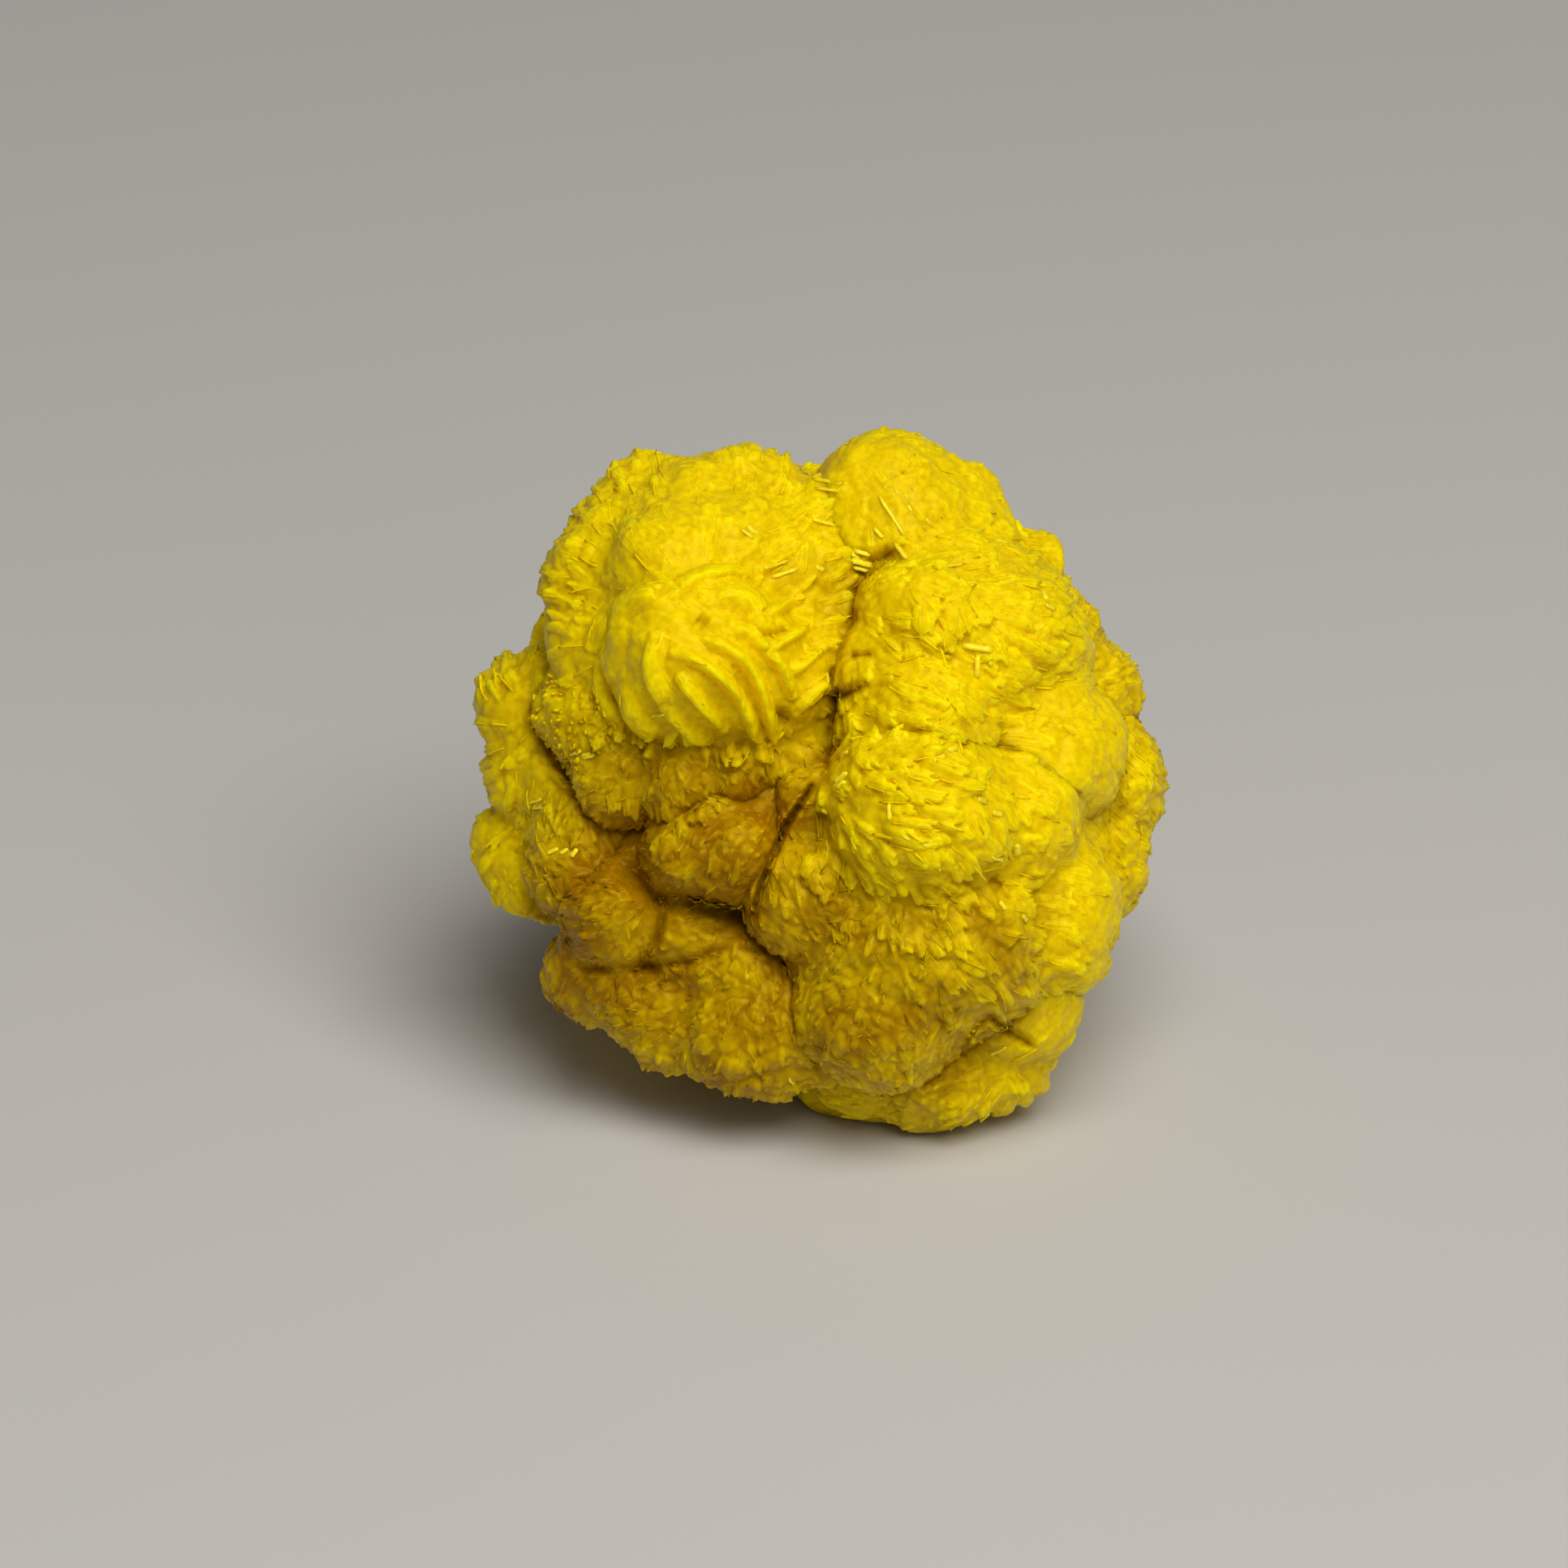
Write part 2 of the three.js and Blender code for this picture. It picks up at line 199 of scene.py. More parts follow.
# Pits and narrow clefts, seen from the front: points in millimetres as for the
# growth centres, then half the width and the depth.
CLEFTS = (
    (((-1.45, 2.72), (-1.30, 2.60)), 0.15, 0.24),
    (((1.42, 3.60), (1.62, 3.72), (1.80, 3.84)), 0.09, 0.30),
    (((0.90, 1.42), (1.08, 1.50), (1.30, 1.62)), 0.10, 0.42),
    (((1.10, 2.10), (1.45, 2.14)), 0.06, 0.24),
    (((-0.40, 2.42), (0.05, 2.52)), 0.07, 0.22),
    (((-0.12, 1.18), (0.08, 1.05)), 0.09, 0.22),
    (((3.40, -1.55), (3.60, -1.70)), 0.09, 0.30),
    (((0.45, -0.05), (0.02, -0.70), (-0.12, -1.05), (-0.39, -1.72), (-0.51, -2.13)), 0.05, 0.55),
    (((-2.77, -1.24), (-2.15, -1.85), (-1.33, -1.96), (-0.46, -2.18)), 0.15, 0.30),
    (((-1.98, -2.10), (-2.15, -2.68), (-2.40, -3.00)), 0.07, 0.22),
    (((-3.39, -3.05), (-2.43, -3.02), (-1.61, -2.95), (-0.92, -2.68)), 0.08, 0.18),
    (((3.35, -3.80), (3.75, -4.10), (4.12, -4.33)), 0.08, 0.26),
    (((2.93, -4.40), (3.15, -4.05), (3.40, -3.82)), 0.05, 0.14),
)

# Soft petals, seen from the front: points in millimetres as above, then half
# the width, how far it stands out and which of its sides is the steep one.
PETALS = (
    (((-3.10, 2.40), (-2.80, 2.85), (-2.40, 3.10), (-1.95, 3.12)), 0.24, 0.21, 1),
    (((-1.95, 3.10), (-1.50, 3.38), (-1.00, 3.50), (-0.55, 3.42)), 0.20, 0.19, 1),
    (((-1.15, 3.15), (-0.80, 3.15), (-0.45, 2.90), (-0.38, 2.50)), 0.28, 0.25, 1),
    (((-2.72, 2.55), (-2.80, 2.10), (-2.72, 1.70)), 0.18, 0.19, 1),
    (((-2.10, 2.35), (-2.18, 1.95), (-1.95, 1.40)), 0.20, 0.21, 1),
    (((-1.75, 2.15), (-1.35, 2.02), (-0.95, 1.72), (-0.68, 1.35), (-0.42, 0.75)), 0.15, 0.25, 1),
    (((-1.20, 2.38), (-0.75, 2.12), (-0.45, 1.75), (-0.25, 1.15), (-0.18, 0.82)), 0.15, 0.23, 1),
    (((-0.80, 2.62), (-0.42, 2.36), (-0.05, 1.95), (0.10, 1.55)), 0.15, 0.21, 1),
    (((-1.68, 1.72), (-1.40, 1.42), (-1.02, 1.02)), 0.14, 0.19, 1),
    (((-1.90, 1.25), (-1.60, 0.95), (-1.30, 0.78)), 0.15, 0.17, 1),
    (((-2.60, 1.40), (-2.40, 1.05), (-2.10, 0.85)), 0.17, 0.17, 1),
    (((-3.00, 1.90), (-3.00, 1.45), (-2.80, 1.10)), 0.17, 0.17, 1),
    (((-2.20, 3.50), (-1.85, 3.20)), 0.11, 0.13, -1),
    (((-0.45, 3.52), (0.05, 3.78)), 0.11, 0.13, 1),
    (((-0.30, 2.80), (0.20, 3.05)), 0.13, 0.13, 1),
    (((-0.25, 2.25), (0.35, 2.60)), 0.13, 0.13, 1),
    (((0.10, 1.85), (0.55, 2.20)), 0.13, 0.13, 1),
    (((0.20, 1.25), (0.62, 1.70)), 0.13, 0.13, 1),
)

# The overlapping plates that cover each kind of lobe. They grow away from the
# lobe's growth centre and stand out most at their free ends. Lengths are
# millimetres; sway and twist, which turn them from that course, are degrees.
PLATES = (
    # kind, plates per mm2, length, half width, stand, sway, twist, rag, groove
    ("feather", 7.0, 0.64, 0.125, 0.085, 30, 0, 0.050, 0.026),
    ("rose", 3.0, 0.50, 0.120, 0.030, 15, 20, 0.060, 0.012),
    ("crumb", 7.0, 0.46, 0.080, 0.060, 35, 0, 0.040, 0.022),
    ("crumb", 26.0, 0.24, 0.050, 0.045, 40, 0, 0.030, 0.020),
    ("shelf", 6.5, 0.72, 0.170, 0.100, 25, 0, 0.060, 0.022),
    ("soft", 2.4, 1.10, 0.260, 0.045, 22, 0, 0.080, 0.014),
    ("soft", 5.0, 0.50, 0.100, 0.035, 30, 0, 0.080, 0.014),
    ("druse", 60.0, 0.13, 0.060, 0.050, 90, 0, 0.030, 0.010),
)

# How lumpy each kind of lobe is under its plates, in millimetres.
LUMPS = {"feather": 0.04, "rose": 0.02, "crumb": 0.05, "shelf": 0.04, "soft": 0.03,
         "druse": 0.06, "plain": 0.0}

# Rows of larger plates, seen from the front: the line that their roots stand
# on, the way they point in degrees from the right, then spacing, length, half
# width, stand and rag in millimetres.
ROWS = (
    (((-2.95, 1.00), (-2.30, 0.90), (-1.60, 0.90), (-1.00, 0.70), (-0.40, 0.75), (0.10, 0.95)),
     -95, 0.15, 0.36, 0.11, 0.20, 0.05),
    (((-2.90, -0.10), (-2.30, -0.30), (-1.75, -0.50), (-1.20, -0.30)),
     -85, 0.16, 0.34, 0.11, 0.16, 0.05),
    (((2.05, 3.30), (2.55, 3.30), (3.05, 3.05)), -70, 0.34, 0.70, 0.26, 0.15, 0.09),
    (((2.10, 2.75), (2.80, 2.72), (3.45, 2.60)), -75, 0.32, 0.66, 0.24, 0.15, 0.09),
    (((2.00, 2.40), (2.60, 2.35)), -80, 0.26, 0.50, 0.20, 0.13, 0.08),
    (((0.75, 0.62), (1.30, 0.50), (1.90, 0.42)), 50, 0.24, 0.62, 0.17, 0.16, 0.08),
    (((1.95, 0.40), (2.50, 0.20), (3.05, 0.05)), 15, 0.24, 0.70, 0.17, 0.16, 0.08),
    (((0.95, 0.35), (1.30, 0.05), (1.50, -0.35)), -10, 0.20, 0.90, 0.14, 0.14, 0.07),
    (((1.80, 0.05), (2.10, -0.40), (2.20, -0.80)), -20, 0.20, 0.80, 0.14, 0.14, 0.07),
    (((0.85, -0.60), (1.50, -0.85), (2.20, -1.00), (3.00, -1.15)), -60, 0.22, 0.55, 0.15, 0.14, 0.07),
    (((1.00, -1.30), (1.70, -1.60), (2.50, -1.70), (3.20, -1.80)), -70, 0.22, 0.45, 0.14, 0.13, 0.06),
    (((1.60, -2.30), (2.30, -2.60), (3.00, -2.50)), -70, 0.22, 0.38, 0.12, 0.12, 0.06),
)

# The thin crystals that stand out of them: how many per mm2, length, stand,
# thickness, lift off the surface in degrees.
THIN_KINDS = {
    "feather": (9.0, 0.36, 0.026, 0.020, 2),
    "rose": (2.0, 0.30, 0.016, 0.020, 1),
    "crumb": (26.0, 0.18, 0.022, 0.018, 4),
    "shelf": (7.0, 0.36, 0.026, 0.020, 2),
    "soft": (3.0, 0.40, 0.016, 0.020, 1),
    "druse": (60.0, 0.10, 0.045, 0.030, 15),
}

# Single crystals that catch the light, seen from the front: both ends, then
# twice how far it stands out.
NEEDLES = (
    (0.46, 5.04, 1.06, 4.94, 0.05), (0.51, 4.89, 0.99, 4.82, 0.04), (1.63, 4.93, 2.25, 4.07, 0.05),
    (1.80, 4.90, 2.36, 4.17, 0.04), (1.55, 4.77, 2.04, 4.02, 0.05), (1.96, 4.82, 2.47, 4.23, 0.04),
    (2.09, 4.90, 2.63, 4.37, 0.04), (1.59, 4.13, 1.70, 3.89, 0.09), (1.82, 3.99, 2.04, 3.70, 0.06),
    (1.47, 4.23, 1.63, 4.05, 0.05), (1.10, 3.78, 1.47, 3.66, 0.08), (1.09, 3.69, 1.45, 3.59, 0.08),
    (1.15, 3.86, 1.42, 3.78, 0.06), (1.13, 3.58, 1.39, 3.52, 0.06), (-0.62, 4.26, -0.35, 4.02, 0.07),
    (-0.72, 4.21, -0.51, 4.05, 0.04), (0.52, 3.58, 0.67, 3.51, 0.06), (-0.35, 3.56, 0.08, 3.70, 0.05),
    (-0.21, 3.40, 0.25, 3.56, 0.05), (2.93, 2.30, 3.46, 2.21, 0.08), (3.20, 2.14, 3.19, 1.74, 0.07),
    (3.31, 2.18, 3.43, 1.93, 0.05), (2.20, 2.41, 2.67, 2.36, 0.05), (4.23, 3.20, 4.34, 3.04, 0.08),
    (4.31, 2.96, 4.48, 2.87, 0.05), (2.47, 3.56, 3.00, 3.64, 0.04), (0.82, 0.00, 1.05, 0.19, 0.09),
    (0.87, -0.08, 1.02, 0.05, 0.08), (0.91, 0.46, 1.07, 0.54, 0.06), (2.47, 0.38, 2.68, 0.48, 0.07),
    (2.71, 0.54, 2.88, 0.60, 0.07), (3.19, -0.24, 3.35, -0.29, 0.08), (3.43, -0.46, 3.62, -0.51, 0.07),
    (3.86, -0.99, 3.86, -1.21, 0.09), (3.43, -1.21, 3.64, -1.26, 0.08), (2.06, 0.01, 2.60, 0.08, 0.05),
    (1.73, -0.32, 1.74, -0.62, 0.06), (2.20, -0.46, 2.80, -0.56, 0.05), (1.93, -0.86, 2.47, -1.06, 0.05),
    (2.87, -0.72, 3.34, -0.99, 0.05), (3.56, -1.93, 3.67, -2.09, 0.06), (3.94, -2.17, 4.02, -2.28, 0.06),
    (-3.93, -1.15, -3.73, -1.06, 0.05), (-3.70, -1.15, -3.56, -1.07, 0.05),
    (-3.51, -1.21, -3.40, -1.07, 0.06), (-4.23, -0.32, -3.99, -0.25, 0.05),
    (-4.17, -0.40, -3.89, -0.38, 0.05), (-3.35, 0.43, -3.12, 0.48, 0.08),
    (-3.56, 0.48, -3.35, 0.54, 0.06), (0.08, -4.85, 0.19, -4.94, 0.10), (-2.22, 1.13, -1.98, 1.15, 0.05),
    (0.46, 4.37, 0.86, 4.26, 0.04), (-0.08, -0.56, 0.05, -0.51, 0.05), (3.38, -4.48, 3.67, -4.34, 0.06),
)

# Where in the noise the lobes' unevenness is taken from: a step for each seed,
# and a shift for each axis. Then how fine it is and how high, in mm.
WOBBLE_SEED = 69
WOBBLE_STEP = (7.31, 3.17, -5.71)
WOBBLE_SHIFTS = ((0.0, 0.0, 0.0), (31.4, 0.0, 17.9), (-12.6, 53.2, 0.0))
WOBBLE_WAVES = ((0.8, 0.20), (2.2, 0.12))

# Where the random draws start. The plates and the thin crystals add to theirs
# the mass, the kind and the seed that a user may change.
SEEDS = {"poles": 11, "rays": 5, "samples": 4, "rows": 1, "plates": 40, "thin": 200,
         "crystal_bed": 9, "needle_bed": 2, "needle_shape": 3}

# A mass's gap to the other masses, in mm, is below 0 inside them. Its skin keeps
# its corners and takes its own painted shade from the first of these on, and is split
# for plates from the second on. Of its hidden corners this share is taken away.
KEPT_FROM = -0.35
SPLIT_FROM = -0.20
HIDDEN_CUT = 0.93

# How open a corner is to the light: how many corners of a mass are looked at, with
# how many rays, how long these are in mm, and how many of the nearest of those
# corners each corner takes its openness from.
SHADE_SAMPLES = 5000
SHADE_RAYS = 14
SHADE_REACH = 1.8
SHADE_NEAREST = 4

# What a cleft does to the painted shade: how much darker a deep one is painted, and the darkest it gets.
CLEFT_SHADE = 1.3
CLEFT_DARKEST = 0.3

# Seats for crystals: how many places are tried for each, the least space between
# them as a share of an even spacing, the least gap to the other masses, and the
# least height over the floor, both in mm.
SEAT_TRIES = 4
SEAT_SPACING = 0.75
SEAT_DEEPEST = -0.15
SEAT_LOWEST = 0.2

ROUGH_GRID = 0.11      # mesh of the masses that rays are cast at, in mm
GROOVE = 0.024         # depth of the grooves on the rows' plates, in mm
BLADE_SHAPES = 5       # different blades, and chips, that the crystals share
NEEDLE_LONGEST = 1.2   # a needle longer than this would bridge a cleft, in mm
NEEDLE_SAG = 0.11      # and so would one whose middle is this far off, in mm
NEEDLE_THICK = 0.014   # in mm
NEEDLE_LIFT = 0.015    # how far its root is off the surface, in mm
LOWEST = 0.01          # no crystal reaches lower than this over the floor, in mm

# Masses out of sight from the front have a coarser mesh, by this factor.
COARSER = {"back": 1.4, "root": 1.4}

Lobe = namedtuple("Lobe", "x y z radius heart kind mass")
LOBES = [Lobe(*place, heart, kind, mass) for mass, runs in MASSES.items()
         for heart, kind, *places in runs for place in places]


# ---- sizes and finishes that a user may change --------------------------

def colour(name, description, default):
    """A colour that a user may change."""
    return FloatVectorProperty(name=name, description=description, default=default,
                               subtype="COLOR", size=3, min=0.0, max=1.0)


def factor(name, description, default, low, high):
    """A share that a user may change."""
    return FloatProperty(name=name, description=description, default=default,
                         subtype="FACTOR", min=low, max=high)


class VanuraliteMassProps(bpy.types.PropertyGroup):
    """The grown-together masses under the crystals"""

    grid: FloatProperty(
        name="Grid", description="Edge length of the masses' mesh before it is split, in mm",
        default=0.078, min=0.05, max=0.4)
    smoothing: IntProperty(
        name="Smoothing", description="Passes that round the lobes into each other",
        default=28, min=0, max=90)
    swell: FloatProperty(
        name="Swell", description="How much wider each lobe is than its radius, in mm",
        default=0.04, min=-0.3, max=0.3)
    relief: FloatProperty(
        name="Relief", description="Height of the fine unevenness, in mm",
        default=0.022, min=0.0, max=0.2)


class VanuraliteCrystalProps(bpy.types.PropertyGroup):
    """The single crystals, packed side by side in books"""

    density: factor("Density", "Share of the usual number of crystals", 1.0, 0.05, 2.0)
    length: factor("Length", "Share of the usual crystal length", 1.0, 0.3, 2.0)
    stand: factor("Stand", "Share of the usual height over the body", 1.0, 0.2, 2.0)
    thickness: factor("Thickness", "Share of the usual crystal thickness", 1.0, 0.3, 3.0)
    seed: IntProperty(
        name="Seed", description="Another number gives another specimen", default=7, min=0)


class VanuraliteFinishProps(bpy.types.PropertyGroup):
    """The waxy yellow of the crystals, with its painted light and shade"""

    # Painted light: the paler colour of the free edges, where light comes through them.
    bright: colour("Tips", "Colour of the crystals' free edges", (0.97, 0.75, 0.0))
    middle: colour("Faces", "Colour of the crystals' broad faces", (0.86, 0.625, 0.0))
    # Painted highlight: the paler colour of the needles' free edges, on top of their real gloss.
    painted_glint: colour("Glints", "Colour of the single crystals that catch the light",
                  (1.0, 0.89, 0.06))
    # Painted shade: the colour that hollows and clefts are painted where little light reaches them.
    deep: colour("Painted shade", "Colour deep between the lobes", (0.34, 0.16, 0.0))
    roughness: factor("Roughness", "0 is polished and 1 is matt", 0.42, 0.0, 1.0)


class VanuraliteStageProps(bpy.types.PropertyGroup):
    """The floor and the lights"""

    floor_colour: colour("Floor", "Colour of the floor", (0.55, 0.54, 0.52))
    key_strength: FloatProperty(
        name="Key light", description="Brightness of the light from the upper right, in W/m2",
        default=3.4, min=0.0)
    fill_strength: FloatProperty(
        name="Fill light", description="Brightness of the light from the front, in W/m2",
        default=0.28, min=0.0)
    sky_strength: FloatProperty(
        name="Sky", description="Brightness of the light from all round",
        default=0.09, min=0.0)


# ---- helpers ------------------------------------------------------------

def unit(vectors):
    """Rows of vectors, each made one long."""
    lengths = np.linalg.norm(vectors, axis=-1, keepdims=True)
    return vectors / np.maximum(lengths, 1e-12)


def sight_line(right, up):
    """The eye's line through a point of the front view, in mm."""
    target = EYE_AIM + EYE_RIGHT * right + EYE_UP * up
    return EYE, (target - EYE).normalized()


def rows_of(items, key, width, kind=np.float32):
    """One row of values for each item of a mesh."""
    values = np.empty(len(items) * width, kind)
    items.foreach_get(key, values)
    return values.reshape(-1, width)


def mesh_arrays(mesh):
    """A mesh's corners in mm, its normals and its triangles."""
    mesh.calc_loop_triangles()
    return (rows_of(mesh.vertices, "co", 3).astype(float) / MM,
            rows_of(mesh.vertex_normals, "vector", 3).astype(float),
            rows_of(mesh.loop_triangles, "vertices", 3, np.int32))


def set_places(mesh, places):
    """Moves a mesh's corners to places in mm."""
    mesh.vertices.foreach_set("co", (places * MM).astype(np.float32).ravel())


def store(mesh, name, values):
    """Keeps one number, or one direction, for each corner of a mesh."""
    values = np.asarray(values, np.float32)
    kind, key = ("FLOAT", "value") if values.ndim == 1 else ("FLOAT_VECTOR", "vector")
    attribute = mesh.attributes.get(name) or mesh.attributes.new(name, kind, "POINT")
    attribute.data.foreach_set(key, values.ravel())


def stored(mesh, name):
    """The numbers or directions that were kept."""
    kept = mesh.attributes[name]
    if kept.data_type == "FLOAT":
        return rows_of(kept.data, "value", 1)[:, 0].astype(float)
    return rows_of(kept.data, "vector", 3).astype(float)


def finder_of(points):
    """A tree that finds the nearest of the points."""
    finder = KDTree(len(points))
    for number, point in enumerate(points):
        finder.insert(point, number)
    finder.balance()
    return finder


def link(name, mesh, finish):
    """A new object of the mesh, which rides on the cluster."""
    piece = bpy.data.objects.new(name, mesh)
    bpy.context.scene.collection.objects.link(piece)
    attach(piece, "root")
    mesh.materials.append(finish)
    return piece


class Field:
    """Which lobe a point belongs to, and how the crystals lie there."""

    def __init__(self, tree):
        generator = np.random.default_rng(SEEDS["poles"])
        hearts = {}
        for name, (right, up) in HEARTS.items():
            origin, direction = sight_line(right, up)
            hit = tree.ray_cast(origin, direction)[0]
            hearts[name] = np.array(hit if hit else origin)
        self.centres = np.array([lobe[:3] for lobe in LOBES])
        self.radii = np.array([lobe.radius for lobe in LOBES])
        self.kinds = np.array([lobe.kind for lobe in LOBES])
        self.masses = np.array([lobe.mass for lobe in LOBES])
        self.hearts = np.empty((len(LOBES), 3))
        for i, lobe in enumerate(LOBES):
            outward = unit(self.centres[i] - MIDDLE)
            sideways = unit(np.cross(generator.normal(size=3), outward))
            pole = self.centres[i] + unit(outward + 0.8 * sideways) * self.radii[i]
            self.hearts[i] = hearts.get(lobe.heart, pole)

    def owner(self, points, mass):
        """The lobe of the mass that each point lies on, and its gap to others."""
        gaps = np.linalg.norm(points[:, None] - self.centres[None], axis=2) - self.radii
        own = self.masses == mass
        return (np.argmin(np.where(own, gaps, 1e9), axis=1),
                np.min(np.where(own, 1e9, gaps), axis=1))

    def spread(self, points, mass, amounts):
        """One amount for each lobe, spread smoothly over points: over the lobes
        of one mass, or with None over all of those that have crystals."""
        gaps = np.linalg.norm(points[:, None] - self.centres[None], axis=2) - self.radii
        chosen = self.kinds != "plain" if mass is None else self.masses == mass
        weights = np.exp(-np.clip(gaps + 0.4, -1, 9) / 0.30) * chosen + 1e-12
        return weights @ np.array(amounts) / weights.sum(axis=1)

    def grain(self, points, normals, owners):
        """The direction away from the growth centre, along the surface."""
        away = points - self.hearts[owners]
        away -= normals * np.sum(away * normals, axis=1, keepdims=True)
        return unit(away)


def hashed(*cells):
    """A repeatable number from 0 to 1 for each row of whole numbers."""
    total = np.full(np.shape(cells[0]), 0x9E3779B9, np.uint64)
    for cell in cells:
        total ^= cell.astype(np.int64).astype(np.uint64) & np.uint64(0xFFFFFFFF)
        total = (total * np.uint64(0x85EBCA6B)) & np.uint64(0xFFFFFFFF)
        total ^= total >> np.uint64(13)
        total = (total * np.uint64(0xC2B2AE35)) & np.uint64(0xFFFFFFFF)
        total ^= total >> np.uint64(16)
    return total / 0xFFFFFFFF


def plane_noise(x, y):
    """Smooth noise from 0 to 1 over a plane."""
    left, low = np.floor(x), np.floor(y)
    u, v = x - left, y - low
    u, v = u * u * (3 - 2 * u), v * v * (3 - 2 * v)
    near = hashed(left, low) * (1 - u) + hashed(left + 1, low) * u
    far = hashed(left, low + 1) * (1 - u) + hashed(left + 1, low + 1) * u
    return near * (1 - v) + far * v


def shade_of(points, normals, tree, rays, reach):
    """How open each point is, from 0 in a deep crevice to 1."""
    generator = np.random.default_rng(SEEDS["rays"])
    dome = unit(generator.normal(size=(rays, 3)))
    openness = np.empty(len(points))
    cast = tree.ray_cast
    for i, (point, normal) in enumerate(zip(points, normals)):
        start = Vector(point + normal * 0.06)
        free = 0.0
        for direction in unit(dome + normal * 1.02):
            hit = cast(start, Vector(direction), reach)[3]
            free += 1.0 if hit is None else (hit / reach) ** 2
        openness[i] = free / rays
    return openness


# ---- the body -----------------------------------------------------------

def distance_to_path(points, path):
    """How far points of the front view are from a path, and how far along."""
    nearest = np.full(len(points), 1e9)
    along = np.zeros(len(points))
    for step, (start, end) in enumerate(zip(path[:-1], path[1:])):
        start, end = np.array(start), np.array(end)
        run = end - start
        share = np.clip((points - start) @ run / (run @ run), 0, 1)
        gap = np.linalg.norm(points - start - share[:, None] * run, axis=1)
        closer = gap < nearest
        nearest[closer] = gap[closer]
        along[closer] = (step + share[closer]) / (len(path) - 1)
    return nearest, along


def front_view(points):
    """Points in mm as the eye sees them, right of and above the middle."""
    offset = points - np.array(EYE)
    depth = offset @ np.array(EYE_FORWARD)
    right = offset @ np.array(EYE_RIGHT)
    up = offset @ np.array(EYE_UP)
    return np.stack((right, up), axis=1) * (EYE_DISTANCE / depth)[:, None]


def open_clefts(mesh):
    """Pits and narrow clefts, pushed in away from the eye, with painted shade darkening their colour."""
    places, normals, _ = mesh_arrays(mesh)
    seen = front_view(places)
    facing = normals @ np.array(EYE_FORWARD) < -0.05
    inward = unit(places - np.array(EYE))
    light = np.ones(len(places))
    for path, half_width, depth in CLEFTS:
        gap, along = distance_to_path(seen, path)
        taper = np.clip(np.minimum(along, 1 - along) / 0.12, 0.0, 1.0) * 0.7 + 0.3
        profile = np.clip(1 - gap / (2 * half_width), 0, 1) ** 1.5
        places += inward * (profile * depth * taper * facing)[:, None]
        # Painted shade: the colour darkens along the cleft, more where it is deep.
        light -= CLEFT_SHADE * np.clip(depth, 0, 0.35) * profile * facing
    set_places(mesh, places)
    store(mesh, "open", stored(mesh, "open") * np.clip(light, CLEFT_DARKEST, 1))
    mesh.update()


def modified(mesh, modifiers, hidden=()):
    """A mesh with its modifiers applied, each given as its kind and settings."""
    holder = bpy.data.objects.new("holder", mesh)
    bpy.context.scene.collection.objects.link(holder)
    if len(hidden):
        group = holder.vertex_groups.new(name="hidden")
        group.add(np.flatnonzero(hidden).tolist(), 1.0, "REPLACE")
    for kind, settings in modifiers.items():
        modifier = holder.modifiers.new(kind, kind)
        for key, value in settings.items():
            setattr(modifier, key, value)
    graph = bpy.context.evaluated_depsgraph_get()
    skin = bpy.data.meshes.new_from_object(holder.evaluated_get(graph))
    bpy.data.objects.remove(holder)
    bpy.data.meshes.remove(mesh)
    return skin


def fused(mesh, grid, smoothing):
    """One closed skin round everything in the mesh, a little smoothed."""
    return modified(mesh, {
        "REMESH": {"mode": "VOXEL", "voxel_size": grid * MM},
        "SMOOTH": {"factor": 0.5, "iterations": smoothing}})


def wobble(place):
    """Smooth noise along all three axes, the same in every run."""
    starts = ([step * WOBBLE_SEED + shift for step, shift in zip(WOBBLE_STEP, shifts)]
              for shifts in WOBBLE_SHIFTS)
    return Vector([noise.noise(place + Vector(start)) for start in starts])


def raw_mass(name, swell):
    """The lobes of one mass, rounded into each other."""
    bm = bmesh.new()
    for lobe in LOBES:
        if lobe.mass == name:
            bmesh.ops.create_icosphere(
                bm, subdivisions=3, radius=(lobe.radius + swell) * MM,
                matrix=Matrix.Translation(Vector(lobe[:3]) * MM))
    for vert in bm.verts:
        place = vert.co / MM
        vert.co += sum((wobble(place * fine) * height for fine, height in WOBBLE_WAVES),
                       Vector()) * MM
    mesh = bpy.data.meshes.new(name)
    bm.to_mesh(mesh)
    bm.free()
    return mesh


def thin_hidden(mesh, hidden):
    """The same skin, with few corners where the other masses hide it."""
    ratio = 1 - HIDDEN_CUT * float(np.mean(hidden))
    return modified(mesh, {"DECIMATE": {"vertex_group": "hidden", "ratio": ratio}}, hidden)


def split_open(mesh):
    """Splits the faces that can be seen, into four each."""
    seen = stored(mesh, "gap") > SPLIT_FROM
    bm = bmesh.new()
    bm.from_mesh(mesh)
    edges = [edge for edge in bm.edges if all(seen[vert.index] for vert in edge.verts)]
    bmesh.ops.subdivide_edges(bm, edges=edges, cuts=1, use_grid_fill=True)
    bm.to_mesh(mesh)
    bm.free()
    mesh.update()


def spread_open(mesh, tree, field):
    """Keeps how open each corner is to the light, for the painted shade in its colour."""
    places, normals, _ = mesh_arrays(mesh)
    generator = np.random.default_rng(SEEDS["samples"])
    sample = np.flatnonzero(stored(mesh, "gap") > KEPT_FROM)
    sample = generator.choice(sample, size=min(len(sample), SHADE_SAMPLES), replace=False)
    rough = shade_of(places[sample], normals[sample], tree, SHADE_RAYS, SHADE_REACH)
    finder = finder_of(places[sample])
    openness = np.array([np.mean([rough[found[1]] for found in finder.find_n(point, SHADE_NEAREST)])
                         for point in places])
    # Painted shade of each part, which darkens the openness kept for the colour.
    shade_tones = [PAINTED_SHADE_TONES.get(lobe.heart, PAINTED_SHADE_TONES.get(lobe.kind, 1.0)) for lobe in LOBES]
    store(mesh, "open", openness * field.spread(places, None, shade_tones))


